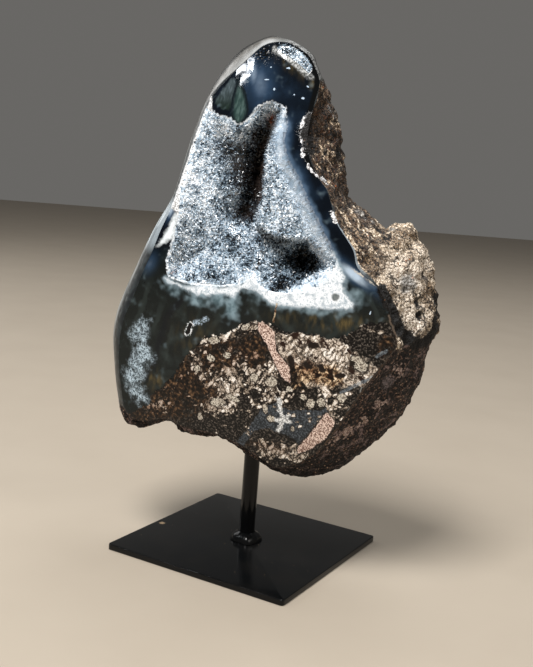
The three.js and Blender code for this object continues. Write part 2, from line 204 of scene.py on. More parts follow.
# The convex bank of crystals on the right of the slot.
BANK_OUTLINE = [
    (0.8, 215), (-1.5, 206.5), (-3.4, 201.5), (-4.1, 193), (-3.8, 177), (-5.5, 171), (-5.5, 165),
    (-1.5, 162), (4, 160.5), (12, 160), (18, 161.5), (21.5, 158), (26, 154.5), (30, 151), (40, 160),
    (30, 200), (12, 222),
]
BANK_DEPTH = 4.5
BANK_SLOPE = 1.4
# Deeper places: x, z, depth, half width, half height, lean of the long axis.
PITS = [
    (-7.4, 190, 15, 4.5, 23, 0.12),
    (18, 149.5, 16, 8, 8.5, 0),
    (-16, 170, 4, 9, 7, 0),
]
# Small crystal pocket at the top right of the cap.
CROWN_MOUTH = [
    (-2.6, 247.6), (2, 247.6), (7.3, 245.4), (11.5, 242.2), (14, 238.4), (14.4, 235.6),
    (12.4, 235), (8.6, 238), (4.2, 241.4), (-2.6, 245.2),
]
CROWN_DEPTH = 3
CROWN_SLOPE = 2.5

# Crystals: a thin crust with points standing on it.
CRUST_PITCH = 1.1
CRUST_THICKNESS = 0.9
# How much deeper the crust starts at the edge of its opening, so that only its points show there.
EDGE_SINK = 0.6
CROWN_FROST = 0.12
POINT_SPACING = 0.66
POINT_SIZE = 1.25
POINT_LEAN = math.radians(42)
# More points to a square metre than the spacing lets stand, so that the spacing alone decides.
DENSITY_LIMIT = 9e6

# Zones of the polished face (x, z), first the cut basalt below the agate and the white rim of the
# hollow.
MATRIX = [
    (-100, 57), (-66, 61.5), (-60.7, 67.5), (-51.9, 74.1), (-51.1, 78.9), (-44.7, 85.7),
    (-41.8, 88.7), (-36.3, 97.6), (-34.6, 101.7), (-30.4, 105.8), (-26.3, 111.3), (-18.7, 113.3),
    (-12.3, 117.1), (-7.4, 120.6), (-0.1, 122.6), (6.5, 121.1), (10, 118.5), (17, 119.5),
    (26, 119.5), (31, 117.5), (38, 121), (46, 127), (54.5, 129), (59, 125.5), (63, 119), (120, 112),
    (120, 20), (-100, 20),
]
WHITE_RIM = [
    (-48, 136.5), (-37.3, 133.4), (-27.9, 135.3), (-20.2, 134.9), (-11, 138.4), (-6.3, 143.6),
    (-0.8, 140.4), (6, 137), (18.3, 140.3), (21.4, 144.6), (29, 148.3), (26, 151.4), (21, 157.2),
    (28.8, 157), (33.2, 149.8), (35.3, 146.6), (34.2, 143.6), (36.5, 138.9), (39.7, 135.4),
    (39.4, 133), (31.8, 132.1), (12.1, 131.1), (3, 131.2), (-0.5, 134), (-4, 136.5), (-8, 136.8),
    (-11.3, 136.1), (-14, 132), (-17, 132.5), (-21.3, 132.9), (-26.4, 131.2), (-31.7, 131),
    (-37.1, 132.8), (-46, 135),
]
# The white wedge beside the hollow at the left.
WHITE_WEDGE = [
    (-44.7, 168.1), (-43.8, 163.5), (-45.7, 155.9), (-50, 152.5), (-53.1, 150.9), (-50.1, 155.4),
    (-47.4, 161.1),
]
# The bright lip of the hollow at the left, and the frosty streak in the agate below it.
LEFT_LIP = [(-32, 223), (-38, 205), (-44.5, 180), (-47, 170), (-42, 166), (-39.5, 196), (-31, 215)]
LEFT_STREAK = [
    (-58.6, 114.6), (-65, 106.5), (-60.3, 104), (-61.5, 96.2), (-65.9, 85.6), (-63.6, 79.3),
    (-57.5, 72.6), (-53, 75.4), (-55.6, 80.9), (-58, 84.5), (-51.4, 98), (-55.8, 104.8),
    (-55.2, 115.1),
]
# The field of dark slate in the basalt.
SLATE = [
    (-8, 63), (-2.5, 71.1), (2.7, 81.4), (9.4, 85.5), (16, 82.4), (22.7, 84), (29.5, 84.5),
    (33.7, 88.4), (34.7, 86.5), (30.3, 81), (25.8, 74.2), (21.3, 66.5), (18.8, 69.3), (14.6, 70.4),
    (5.7, 72.6), (0, 69.7), (-4.9, 60.9),
]
# The dense mass of pale crystals, and its golden lower edge.
CLUSTER = [
    (6.9, 117), (17.6, 119.5), (26, 118.3), (33.7, 119.1), (37.8, 116.1), (45, 113), (52, 107.5),
    (57.6, 103.5), (52, 99.5), (44, 99), (39.4, 97.8), (30, 96), (23, 95.4), (19, 98), (15, 103.5),
    (8.5, 108),
]
GOLD = [
    (8.6, 103.2), (10, 99.9), (12.7, 94.1), (16.9, 92.6), (24.2, 93.7), (21.7, 96.3), (29.5, 97.4),
    (33, 95.6), (39, 98.2), (39.3, 101.1), (34.3, 106.8), (21, 105),
]
# Two blades of pink feldspar.
BLADE = [
    (-1.9, 121.9), (-0.1, 122.8), (5.8, 118.4), (7.5, 109.5), (14, 103.3), (15.1, 95.3),
    (10.9, 97.8), (6.9, 104.3), (3.4, 111.4), (-1.6, 118.1),
]
ROD = [
    (32.5, 84.6), (36.8, 80.6), (33.4, 72.1), (27, 65.6), (21.4, 61.8), (20.8, 65.1), (24.6, 70.6),
]
# The clear leaf-shaped lobe of the cap, and the duller one beside it.
LEAF = [
    (-20.2, 232), (-16, 225.2), (-14.1, 218.7), (-14.2, 214.4), (-16.9, 209.8), (-20.2, 211.5),
    (-21.5, 216.2), (-21.2, 222.8), (-19.9, 229),
]
LEAF_SIDE = [(-30.5, 220), (-23, 231.5), (-20.6, 231), (-21.4, 222.8), (-22, 216.8), (-26, 217)]

# Soft patches of one tint: x, z, half width, half height, turn in degrees, strength.
# Milky agate, and painted reflection. The first two are a painted blue highlight on the polished edge
# beside the shoulder. The next three are a blue sheen on the cap beside the window highlight, partly
# milky agate and partly painted reflection.
MILKY_AND_SHEEN_PATCHES = [
    (39, 148.2, 9, 2.5, -36, 1.15),
    (46, 145, 8, 3, -36, 0.5),
    (-12.5, 234, 3, 9, 8, 0.6),
    (-9, 229, 6.5, 12, 8, 0.5),
    (0, 224, 14, 6, 0, 0.05),
    (-56, 142.5, 3, 5, -25, 0.45),
    (-47, 169, 1.8, 5, -12, 0.85),
    (6, 206, 1.6, 10, 0, 0.3),
    (13, 189, 2.2, 9, 30, 0.28),
]
# Translucent lobes under the white rim.
FRINGE_PATCHES = [
    (-42, 131, 7, 3.5, 0, 0.6),
    (-31.5, 128, 6, 3, -8, 0.8),
    (-21.3, 129.6, 5, 4, 0, 1.0),
    (-14.9, 127, 3.3, 5.5, 0, 1.15),
    (-5, 133.5, 5, 3, 0, 0.5),
    (20, 130, 24, 2, 0, 0.5),
    (42, 139, 5, 5, 0, 0.6),
]
OLIVE_PATCHES = [
    (32, 126, 19, 3.2, 2, 0.9),
    (-51, 86, 5, 4, 15, 0.8),
    (-31, 110, 9, 9, 0, 0.3),
    (5, 239, 8, 2.6, -36, 0.7),
    (17, 231, 4, 2, 0, 0.8),
]
RUST_PATCHES = [
    (-40, 85, 15, 17, 0, 1.0),
    (-54, 69, 12, 9, 0, 1.0),
    (-24, 84, 10, 12, 0, 0.6),
    (-18, 103, 14, 9, 20, 0.9),
    (-3, 108, 8, 9, 0, 0.9),
    (20, 104, 14, 5, -10, 0.8),
    (56, 118, 4, 6, 0, 0.8),
    (8, 63, 14, 4, 0, 0.6),
]
CREAM_PATCHES = [
    (-14, 94, 15, 13, 0, 0.72),
    (-1, 97, 9, 9, 0, 0.8),
    (8, 89, 12, 7, -30, 0.6),
    (-30, 98, 9, 6, 45, 0.55),
    (-20, 113, 14, 3.4, 25, 1.0),
    (-4, 120, 7, 3, 20, 1.0),
    (14, 62, 11, 5, 0, 0.95),
    (36, 90, 5, 6, 0, 0.6),
    (-48, 74, 12, 7, 30, 0.38),
    (-18, 80, 12, 6, 0, 0.72),
    (-2, 83, 5, 8, 0, 0.5),
]
PIT_PATCHES = [(-8.5, 243.5, 5, 4, 0, 1.4)]

# Thin marks in the face: each is a path of points (x, z).
STAR_ARMS = [
    [(10.6, 87), (11.5, 81.6), (13.4, 77.7), (16.4, 77.3)],
    [(13.4, 77.7), (11.3, 72)],
    [(13.4, 77.7), (10.1, 77.1)],
    [(13.4, 77.7), (15.5, 80)],
]
BLUE_VEINS = [[(38.2, 94.6), (47.7, 100.9), (52, 104)], [(52.3, 112.9), (56.1, 115.9)]]
THIN_VEINS = [[(47.1, 98), (45.8, 93), (41.8, 86.5)]]
CRACKS = [[(6.1, 131.2), (5.7, 128), (5, 123)]]
# Chips of white crust along the right edge.
WHITE_CRUST = [
    [(12.3, 215.2), (11.4, 211.6), (11.7, 205.3), (12.7, 197.8), (17.2, 191.5), (24.6, 187.3)],
    [(27.2, 174.6), (29.6, 170)],
]
# Dark curve in the lower agate, the painted highlight along the polished edge beside the
# shoulder and the pale lower edge of the crown pocket.
DARK_CURVE = [
    [(-39.9, 126.2), (-46, 118.5), (-47.3, 112), (-49.5, 102.6), (-51.2, 93.7), (-57, 85.1)],
]
SHOULDER_EDGE_HIGHLIGHT = [[(38, 150.6), (43, 148), (49.5, 144), (53, 140.5)]]
CROWN_EDGE = [[(-3.4, 245), (3.6, 241), (8.2, 237.4), (12.6, 234), (18.4, 233.2)]]
# The crevice below the shoulder, painted black as its shadow, and its thin pale lip.
CREVICE_LINE = [[(55.6, 131.5), (58, 126.5), (60.3, 121.7)]]
CREVICE_SHADOW = [
    [(51.5, 143), (54.6, 138.2), (57.4, 133), (60.6, 127.5), (64.6, 121.8), (71, 118),
     (78.5, 117.5), (82.5, 124)],
]
# Single pale crystals in the matrix: x, z, half width, half height, turn.
OVALS = [
    (6.4, 94.9, 2.9, 2.5, 20),
    (-1.7, 95.6, 1.9, 2.1, 0),
    (-11.2, 84.2, 3.8, 1.3, -12),
    (-18, 81, 3.8, 2.1, 10),
    (-15.2, 104.4, 2.1, 1.6, 20),
    (-22.9, 101.7, 2.2, 1.6, -30),
    (-29.4, 95.3, 1.7, 1.7, 0),
    (-21.9, 110.2, 2.8, 1.8, 10),
    (-7.5, 118.9, 2.4, 1.2, 40),
    (-26.3, 72.2, 1.4, 2, 0),
    (7.4, 77.3, 2, 1.7, -20),
    (4.4, 81.7, 1.2, 2.6, 15),
    (17.8, 74.1, 1, 1.2, 0),
    (25, 87.4, 2, 2.3, 10),
    (29.7, 88.7, 2, 2.3, 0),
    (21.4, 90.1, 1.6, 1.5, 0),
    (14.9, 92.6, 1.5, 1.4, 0),
    (38.6, 92.2, 2.2, 2.5, 0),
    (45, 108.6, 4.6, 2.8, -42),
]
# Dark holes between the crystals, painted dark as their shade, likewise.
SHADED_HOLE_OVALS = [
    (23.8, 114.3, 2.6, 1.5, 10), (42, 108.5, 1.3, 1.2, 0), (37, 102.2, 2.4, 1.3, 10),
    (22, 105, 2.6, 1.3, -30), (14.6, 106, 1.5, 3, 20), (28.5, 104.5, 1.5, 2.2, 30),
]
# Pale specks near the polished surface, likewise.
SPECKS = [
    (-8, 248, 0.6, 0.5, 0), (-4.9, 236.8, 0.5, 0.4, 0), (3.1, 236.6, 0.9, 0.4, -10),
    (-6.3, 231.1, 1.1, 0.4, 0), (-2.5, 227, 0.6, 0.6, 0), (6.8, 225, 0.5, 0.4, 0),
    (10.7, 223.9, 0.9, 0.6, -15), (12.6, 229.3, 0.6, 0.4, 0), (47.5, 132, 0.4, 0.9, 0),
]
# The small white-rimmed eye in the lower agate, a hole painted black as its shade, and the wisps
# beside it.
EYES = [[(-35, 111.8), (-33.9, 116)]]
EYE_STREAK = [[(-31.8, 117.3), (-29, 118)], [(-27.2, 119.4), (-26.4, 119.9)]]
GREEN_SPOT = (31.8, 0, 137.5)

# Soft patches of the druse (x, z), as above.
FROST_PATCHES = [
    (-33, 213, 6, 5, 0, 1.0),
    (-25, 207.5, 8, 4, 0, 1.1),
    (-17, 205, 5, 3, 0, 1.0),
    (-11, 213, 4, 4, 0, 0.9),
    (-5, 219.5, 7, 3, 0, 0.8),
    (3, 213, 2.5, 6, 0, 0.7),
    (1, 197, 4, 12, 0, 0.42),
    (3, 178, 8, 12, 30, 0.4),
    (0, 170, 6, 6, 0, 0.5),
    (14, 172, 8, 9, 35, 0.34),
    (27, 158, 4, 7, 0, 1.0),
    (-38, 184, 8, 28, -8, 0.9),
    (-31, 178, 6, 10, 0, 0.9),
    (-30, 148, 14, 5, 0, 0.4),
    (-9, 162, 6, 3, 0, 0.3),
    (-43, 146, 4, 7, 0, 0.6),
]
# Painted shade on the crystals: in the deep slot, along the foot of the bank, in and round the deep
# hole and in other recesses of the hollow.
PAINTED_SHADE_PATCHES = [
    (-6.4, 188, 3.6, 16, 6, 2.0),
    (-5, 204, 4, 8, -28, 1.6),
    (-9, 206, 4.5, 6, -30, 1.2),
    (-1.8, 212, 3.2, 4, -35, 1.7),
    (-13.5, 192, 8.5, 15, 4, 1.0),
    (-21, 199, 8, 7, 0, 0.75),
    (-12, 170.5, 6, 5, 0, 0.9),
    (3.5, 159.8, 8, 1.6, -6, 1.2),
    (7, 149, 5, 6, 0, 0.8),
    (9, 141, 4, 3.5, 0, 1.3),
    (5, 138.5, 2.6, 2, 0, 1.2),
    (-3, 152, 7, 3.5, 0, 0.45),
    (7, 139.5, 4, 2, 10, 1.6),
    (-25, 141, 4, 3, 0, 0.45),
    (-20, 155, 12, 5, 20, 0.4),
    (-4, 158, 8, 6, 0, 0.45),
    (-14, 148, 10, 4, 0, 0.35),
]
# Mouth of the deep hole at the lower right of the hollow; its crystals get painted shade.
HOLE = [
    (11.5, 158.5), (17.5, 160.3), (20.4, 156.5), (23.5, 154), (28, 149.4), (23.6, 146),
    (18.2, 142), (16.7, 139.5), (13.2, 139.7), (11.6, 144), (10.8, 149.2),
]
ORANGE_PATCHES = [(-3, 214.4, 1.5, 2.4, 0, 1.0), (-44, 140, 1, 1, 0, 0.9)]

# Soft patches of the rough skin: x, y, z, radius, strength.
UMBER_PATCHES = [
    (18, -22, 227, 8, 1.0),
    (22, -14, 215, 9, 0.8),
    (30, -24, 184, 8, 1.0),
    (30, 0, 205, 25, 0.8),
    (18, -30, 196, 5, 0.5),
    (74, -26, 146, 4, 0.5),
]
# Grey patches on the rind; where they reach the basalt they are a painted lilac sheen.
ASH_AND_SHEEN_PATCHES = [
    (25, -11, 221, 5, 1.0),
    (44, -17, 172, 6.5, 1.0),
    (57, -20, 168, 3, 0.6),
    (64, -37, 145, 5.5, 0.8),
    (59, -39, 100, 4, 0.9),
    (57, 30, 140, 22, 0.4),
]
# Gaps in the rough skin, sunk into it and painted dark as their shade.
SHADED_GAP_PATCHES = [
    (14.4, -28.5, 208, 4.5, 1.2),
    (15.5, -29, 202, 4, 1.1),
    (15.4, -28, 214, 3.5, 1.1),
    (29.5, -11, 202, 4, 1.0),
    (31, -18, 199, 3, 1.0),
    (37, -17, 177.5, 4, 0.9),
    (51.7, -18, 167, 3.5, 0.9),
    (54.6, -27, 165, 3, 0.8),
    (53.5, -49.5, 141, 3, 1.0),
    (56, -49.6, 137, 3.5, 1.2),
    (59, -49, 132, 4, 1.2),
    (62, -47, 127, 4.5, 1.2),
    (66, -42, 121, 4.5, 1.2),
    (72, -36, 117.5, 4.5, 1.2),
    (78, -28, 119, 4.5, 1.2),
    (82.5, -18, 134, 6, 1.2),
    (80, -26, 127.5, 4.5, 1.1),
    (70.5, -35.7, 136.6, 2.2, 0.95),
    (71.4, -35.8, 131, 2.4, 1.0),
    (71.7, -28.5, 148.5, 1.6, 0.9),
    (75.8, -24.7, 144.4, 1.8, 0.9),
]
# Pale stripes in the basalt; the sixth and seventh are a painted lilac-brown highlight along its
# ridge.
SCAR_AND_SHEEN_PATCHES = [
    (37, -41, 71.4, 3.5, 0.9),
    (43.5, -38.5, 75, 4.5, 1.0),
    (35.7, -38.3, 65.2, 3, 0.7),
    (51, -36, 79, 4, 0.8),
    (57, -37, 87.5, 4.5, 1.0),
    (62, -37, 107, 6, 0.9),
    (66, -30, 100, 4, 0.6),
    (20, -34, 50, 5, 0.7),
]
PALE_PATCHES = [
    (23, -26, 198, 6, 1.0),
    (32, -8, 216, 4, 0.4),
    (72, -20, 155, 9, 0.8),
    (63, -34, 146, 12, 1.3),
    (68, -38, 127, 11, 1.35),
]


# Small helpers

def smooth(value, low, high):
    part = np.clip((value - low) / (high - low), 0, 1)
    return part * part * (3 - 2 * part)


def mix(start, end, part):
    return start + (end - start) * part


def chance(a, b):
    """A repeatable number from 0 to 1 for each place."""
    wave = np.sin(a * 12.9898 + b * 78.233) * 43758.5453
    return wave - np.floor(wave)


def nearest_seed(points, size):
    """Distance to the nearest of many scattered points, one in each cube of that size."""
    x, y, z = (points / size).T
    cell_x, cell_y, cell_z = np.floor(x), np.floor(y), np.floor(z)
    nearest = np.full(len(points), np.inf)
    for step in np.ndindex(3, 3, 3):
        i, j, k = cell_x + step[0] - 1, cell_y + step[1] - 1, cell_z + step[2] - 1
        away_x = i + chance(i + 7 * j, k) - x
        away_y = j + chance(j + 7 * k, i + 30) - y
        away_z = k + chance(k + 7 * i, j + 60) - z
        nearest = np.minimum(nearest, np.sqrt(away_x ** 2 + away_y ** 2 + away_z ** 2))
    return nearest


def crumple(points, size, octaves=4):
    """Fractal noise about zero at each point."""
    return np.array([noise.fractal(Vector(p) / size, 0.9, 2.1, octaves) for p in points])


def inside(outline, x, z):
    """Distance from an outline in the face, positive inside it."""
    nearest = np.full(np.shape(x), np.inf)
    within = np.zeros(np.shape(x), bool)
    for (ax, az), (bx, bz) in zip(outline, outline[1:] + outline[:1]):
        run, rise = bx - ax, bz - az
        along = np.clip(((x - ax) * run + (z - az) * rise) / (run ** 2 + rise ** 2), 0, 1)
        nearest = np.minimum(nearest, np.hypot(x - ax - along * run, z - az - along * rise))
        if rise:
            crosses = ((az > z) != (bz > z)) & (x < ax + run * (z - az) / rise)
            within ^= crosses
    return np.where(within, nearest, -nearest)


def patches(places, x, z):
    """Strength of the strongest soft patch at each place."""
    most = np.zeros(np.shape(x))
    for px, pz, half_width, half_height, turn, strength in places:
        cos, sin = math.cos(math.radians(turn)), math.sin(math.radians(turn))
        along = ((x - px) * cos + (z - pz) * sin) / half_width
        across = ((z - pz) * cos - (x - px) * sin) / half_height
        most = np.maximum(most, strength * np.exp(-along ** 2 - across ** 2))
    return most


def spots(places, points):
    """As patches, for round spots in space."""
    most = np.zeros(len(points))
    for px, py, pz, radius, strength in places:
        away = np.linalg.norm(points - (px, py, pz), axis=1) / radius
        most = np.maximum(most, strength * np.exp(-away ** 2))
    return most


# Shape of the stone

def face_y(x, z):
    lean = CAP_LEAN * np.maximum(0, z - HUB_HEIGHT) ** 2
    lean = lean + HEEL_LEAN * np.maximum(0, HEEL_HEIGHT - z) ** 2
    crown = FACE_CROWN + CAP_CROWN * smooth(z, CAP_FROM, CAP_TO)
    return -FACE_DEPTH - FACE_TURN * x + lean + crown * (x - FACE_AXIS_X) ** 2


def back_y(x, z):
    return BACK_DEPTH - SLAB_TURN * x - BACK_LEAN * np.maximum(0, z - HUB_HEIGHT) ** 2


def broken(x, z):
    """How rough the skin is behind the polished edge: 1 on the right and below, 0 on the left."""
    right = mix(smooth(x, *BROKEN_SIDE), smooth(x, *BROKEN_CAP), smooth(z, *BROKEN_CHANGE))
    return np.maximum(right, smooth(z, *BROKEN_UNDER))


def dish(outline, depth, slope, x, z):
    """Depth below the polished face, falling away from the edge of an opening."""
    distance = inside(outline, x, z)
    return np.where(distance < 0, 1.5 * distance, depth * (1 - np.exp(-distance / slope)))


def hollow_depth(x, z):
    opening = dish(HOLLOW_MOUTH, HOLLOW_DEPTH, HOLLOW_SLOPE, x, z)
    floor = opening.copy()
    for px, pz, depth, half_width, half_height, lean in PITS:
        across = (x - px - lean * (z - pz)) / half_width
        up = (z - pz) / half_height
        floor += depth * np.exp(-across ** 2 - up ** 2) * np.clip(opening / 4, 0, 1)
    bank = np.minimum(opening, BANK_DEPTH)
    share = smooth(inside(BANK_OUTLINE, x, z), -BANK_SLOPE, BANK_SLOPE)
    return np.where(opening <= 0, opening, mix(floor, bank, share))


def crown_depth(x, z):
    return dish(CROWN_MOUTH, CROWN_DEPTH, CROWN_SLOPE, x, z)


def closed_curve(points, spots):
    """Places on the smooth closed curve through points, at spots from 0 to 1."""
    points = np.array(points, float)
    reach = (spots % 1) * len(points)
    start = np.floor(reach).astype(int)
    part = (reach - start)[:, None]
    before, here, after, beyond = (points[(start + k) % len(points)] for k in (-1, 0, 1, 2))
    leave, arrive = 0.5 * (after - before), 0.5 * (beyond - here)
    cubic = 2 * here - 2 * after + leave + arrive
    square = 3 * after - 3 * here - 2 * leave - arrive
    return cubic * part ** 3 + square * part ** 2 + leave * part + here


def even_spots(points, count):
    """Spots that divide the closed curve through points into equal lengths."""
    fine = np.linspace(0, 1, 40 * len(points) + 1)
    steps = np.linalg.norm(np.diff(closed_curve(points, fine), axis=0), axis=1)
    length = np.concatenate([[0], np.cumsum(steps)])
    return np.interp(np.arange(count) / count * length[-1], length, fine)


def lump(points, size, height):
    return height * (MEAN_SEED_DISTANCE - nearest_seed(points, size))


def push_out(points, amount):
    outward = (points - (BACK_HUB[0], 0, BACK_HUB[1])) * (1, 2.5, 1)
    outward /= np.linalg.norm(outward, axis=1)[:, None]
    return points + outward * amount[:, None]


def face_ring(edge, part):
    x, z = mix(np.array(FACE_HUB, float), edge, part).T
    depth = np.maximum(hollow_depth(x, z), crown_depth(x, z))
    return np.stack([x, face_y(x, z) + np.maximum(0, depth), z], 1)


def side_ring(edge, rim, part):
    turn = part * math.pi / 2
    out = mix(part, math.sin(turn), EDGE_ROUNDNESS)
    back = mix(part, 1 - math.cos(turn), EDGE_ROUNDNESS)
    x, z = mix(edge, rim[:, ::2], out).T
    rough = broken(x, z)
    ledge = LEDGE_DEPTH * rough * smooth(part, 0, 0.3) * (1 - part)
    points = np.stack([x, mix(face_y(*edge.T), rim[:, 1], back) + ledge, z], 1)
    broad = SIDE_LUMP_SHARE * lump(points, LUMP_SIZE, LUMP_HEIGHT)
    small = lump(points, SMALL_LUMP_SIZE, SMALL_LUMP_HEIGHT)
    return push_out(points, rough * math.sin(part * math.pi) * (broad + small))


def back_ring(rim, part):
    turn = part * math.pi / 2
    spread = math.cos(turn) ** BACK_FULLNESS
    rise = math.sin(turn) ** BACK_FULLNESS
    away = rim[:, ::2] - BACK_HUB
    angle = np.arctan2(away[:, 1] / BACK_OVAL[1], away[:, 0] / BACK_OVAL[0])
    oval = np.stack([BACK_OVAL[0] * np.cos(angle), BACK_OVAL[1] * np.sin(angle)], 1)
    x, z = (BACK_HUB + spread * mix(away, oval, smooth(part, 0, 0.7))).T
    points = np.stack([x, mix(rim[:, 1], back_y(x, z), rise), z], 1)
    small = spread * lump(points, SMALL_LUMP_SIZE, SMALL_LUMP_HEIGHT)
    broad = lump(points, LUMP_SIZE, LUMP_HEIGHT)
    return push_out(points, rise * smooth(spread, 0, 0.8) * (broad + small))


def stone_shape():
    """Points of the stone, and for each how far round it lies: 0 to 1 on the face, to 2 on the
    side, to 3 on the back."""
    stations = np.array(STATIONS, float)
    spots = even_spots(stations[:, 2:], AROUND)
    edge = closed_curve(stations[:, :2], spots)
    rim = closed_curve(stations[:, 2:], spots)
    hub = np.array([[FACE_HUB[0], face_y(*FACE_HUB), FACE_HUB[1]]])
    tail = np.array([[BACK_HUB[0], back_y(*BACK_HUB), BACK_HUB[1]]])
    rings = [face_ring(edge, k / FACE_RINGS) for k in range(1, FACE_RINGS + 1)]
    rings += [side_ring(edge, rim, k / SIDE_RINGS) for k in range(1, SIDE_RINGS + 1)]
    rings += [back_ring(rim, k / BACK_RINGS) for k in range(1, BACK_RINGS)]
    turns = [k / FACE_RINGS for k in range(1, FACE_RINGS + 1)]
    turns += [1 + k / SIDE_RINGS for k in range(1, SIDE_RINGS + 1)]
    turns += [2 + k / BACK_RINGS for k in range(1, BACK_RINGS)]
    turn = np.concatenate([[0], np.repeat(turns, AROUND), [3]])
    return np.concatenate([hub, *rings, tail]), turn


def stone_faces(count):
    """Faces over the rings, and over the points in the middle of the front and the back."""
    rings = FACE_RINGS + SIDE_RINGS + BACK_RINGS - 1
    last = count - 1
    faces = []
    for a in range(AROUND):
        b = (a + 1) % AROUND
        faces.append((0, 1 + b, 1 + a))
        for ring in range(rings - 1):
            low, high = 1 + ring * AROUND, 1 + (ring + 1) * AROUND
            faces.append((low + a, low + b, high + b, high + a))
        end = 1 + (rings - 1) * AROUND
        faces.append((end + a, end + b, last))
    return faces


# Meshes

def add_object(name, data):
    thing = bpy.data.objects.new(name, data)
    bpy.context.scene.collection.objects.link(thing)
    return thing


def new_piece(name, points, faces, shade_smooth=True):
    mesh = bpy.data.meshes.new(name)
    mesh.from_pydata((np.asarray(points) * MM).tolist(), [], faces)
    mesh.validate()
    if shade_smooth:
        mesh.shade_smooth()
    return add_object(name, mesh)


def store(piece, name, values, domain="POINT"):
    layer = piece.data.attributes.new(name, "FLOAT", domain)
    layer.data.foreach_set("value", np.asarray(values, np.float32))


def roughen(piece, amount):
    """Moves each point along its normal by amount, in millimetres."""
    mesh = piece.data
    normals = np.empty(3 * len(mesh.vertices), np.float32)
    points = np.empty(3 * len(mesh.vertices), np.float32)
    mesh.vertex_normals.foreach_get("vector", normals)
    mesh.vertices.foreach_get("co", points)
    moved = points.reshape(-1, 3) + normals.reshape(-1, 3) * amount[:, None] * MM
    mesh.vertices.foreach_set("co", moved.ravel())
    mesh.update()


def sharpen(piece, on_line):
    """A crisp edge along the points of a line."""
    mesh = piece.data
    ends = np.empty(2 * len(mesh.edges), np.int32)
    mesh.edges.foreach_get("vertices", ends)
    crisp = on_line[ends.reshape(-1, 2)].all(axis=1)
    mesh.attributes.new("sharp_edge", "BOOLEAN", "EDGE").data.foreach_set("value", crisp)


def make_stone():
    points, turn = stone_shape()
    stone = new_piece("stone", points, stone_faces(len(points)))
    x, z = points[:, ::2].T
    rough = broken(x, z)
    skin = np.maximum(rough * smooth(turn, 1.0, 1.06), smooth(turn, 2.12, 2.4))
    tan_above = z - mix(*TAN_FROM, smooth(turn, 1.6, 2.4))
    wander = mix(*TAN_WANDER, smooth(turn, 1.6, 2.2))
    tan_above += wander * crumple(points, TAN_WANDER_SIZE, 3)
    tan_share = smooth(tan_above, -3, 3)
    gap = spots(SHADED_GAP_PATCHES, points)
    cobbles = COBBLE_HEIGHT * (0.45 - nearest_seed(points, COBBLE_SIZE))
    crumbs = CRUMB_HEIGHT * crumple(points, CRUMB_SIZE, 3)
    relief = cobbles * mix(0.5, 1, tan_share) + crumbs * mix(0.8, 1, tan_share)
    roughen(stone, skin * (relief - GAP_SINK * gap))
    edge = closed_curve(np.array(STATIONS, float)[:, :2], np.linspace(0, 1, 120, endpoint=False))
    areas = {"mouth": HOLLOW_MOUTH, "crown": CROWN_MOUTH, "matrix": MATRIX, "white": WHITE_RIM,
             "wedge": WHITE_WEDGE, "streak": LEFT_STREAK, "slate": SLATE, "gold": GOLD,
             "leaf": LEAF, "leaf side": LEAF_SIDE, "lip": LEFT_LIP, "cluster": CLUSTER,
             "rim": [tuple(p) for p in edge]}
    for name, outline in areas.items():
        store(stone, name, inside(outline, x, z))
    store(stone, "spar", np.maximum(inside(BLADE, x, z), inside(ROD, x, z)))
    tints = {"milky_and_sheen": MILKY_AND_SHEEN_PATCHES, "fringe": FRINGE_PATCHES, "olive": OLIVE_PATCHES,
             "rust": RUST_PATCHES, "cream": CREAM_PATCHES, "pits": PIT_PATCHES}
    for name, places in tints.items():
        store(stone, name, patches(places, x, z))
    skins = {"umber": UMBER_PATCHES, "ash_and_sheen": ASH_AND_SHEEN_PATCHES, "scar_and_sheen": SCAR_AND_SHEEN_PATCHES,
             "pale": PALE_PATCHES}
    for name, places in skins.items():
        store(stone, name, spots(places, points))
    bank_side = smooth(x, -6, 4) * smooth(z, 146, 158) * (1 - smooth(z, 212, 219))
    store(stone, "bank side", bank_side)
    store(stone, "gap", gap)
    store(stone, "turn", turn)
    store(stone, "skin", skin)
    store(stone, "tan", tan_above)
    sharpen(stone, turn == 1)
    return stone


def finish_behind_edge(stone, number):
    """Gives the faces beyond the edge of the polished face the material of that number."""
    turn = np.empty(len(stone.data.vertices), np.float32)
    stone.data.attributes["turn"].data.foreach_get("value", turn)
    for face in stone.data.polygons:
        if turn[list(face.vertices)].min() >= 1:
            face.material_index = number


def uneven_grid(outline, pitch):
    """Rows and columns of places in the face that cover an opening, each a little off its line."""
    corners = np.array(outline)
    low, high = corners.min(0), corners.max(0)
    columns, rows = np.ceil((high - low) / pitch).astype(int) + 1
    column, row = np.meshgrid(np.arange(columns), np.arange(rows), indexing="ij")
    x = low[0] + (column + 0.5 * (chance(column, row) - 0.5)) * pitch
    z = low[1] + (row + 0.5 * (chance(row + 40, column) - 0.5)) * pitch
    return x, z


def slab_faces(kept):
    """Faces of a closed slab, and how many are in front: the kept cells of a grid, the same behind
    them and a wall round them."""
    columns, rows = kept.shape[0] + 1, kept.shape[1] + 1
    behind = columns * rows
    number = np.arange(behind).reshape(columns, rows)
    cells = {}
    for i, j in zip(*np.nonzero(kept)):
        cells[i, j] = [number[i, j], number[i + 1, j], number[i + 1, j + 1], number[i, j + 1]]
    faces = list(cells.values())
    faces += [[behind + corner for corner in reversed(cell)] for cell in cells.values()]
    for (i, j), (a, b, c, d) in cells.items():
        for beside, first, second in (((i, j - 1), a, b), ((i + 1, j), b, c),
                                      ((i, j + 1), c, d), ((i - 1, j), d, a)):
            if beside not in cells:
                faces.append([second, first, behind + first, behind + second])
    return [[int(corner) for corner in face] for face in faces], len(cells)


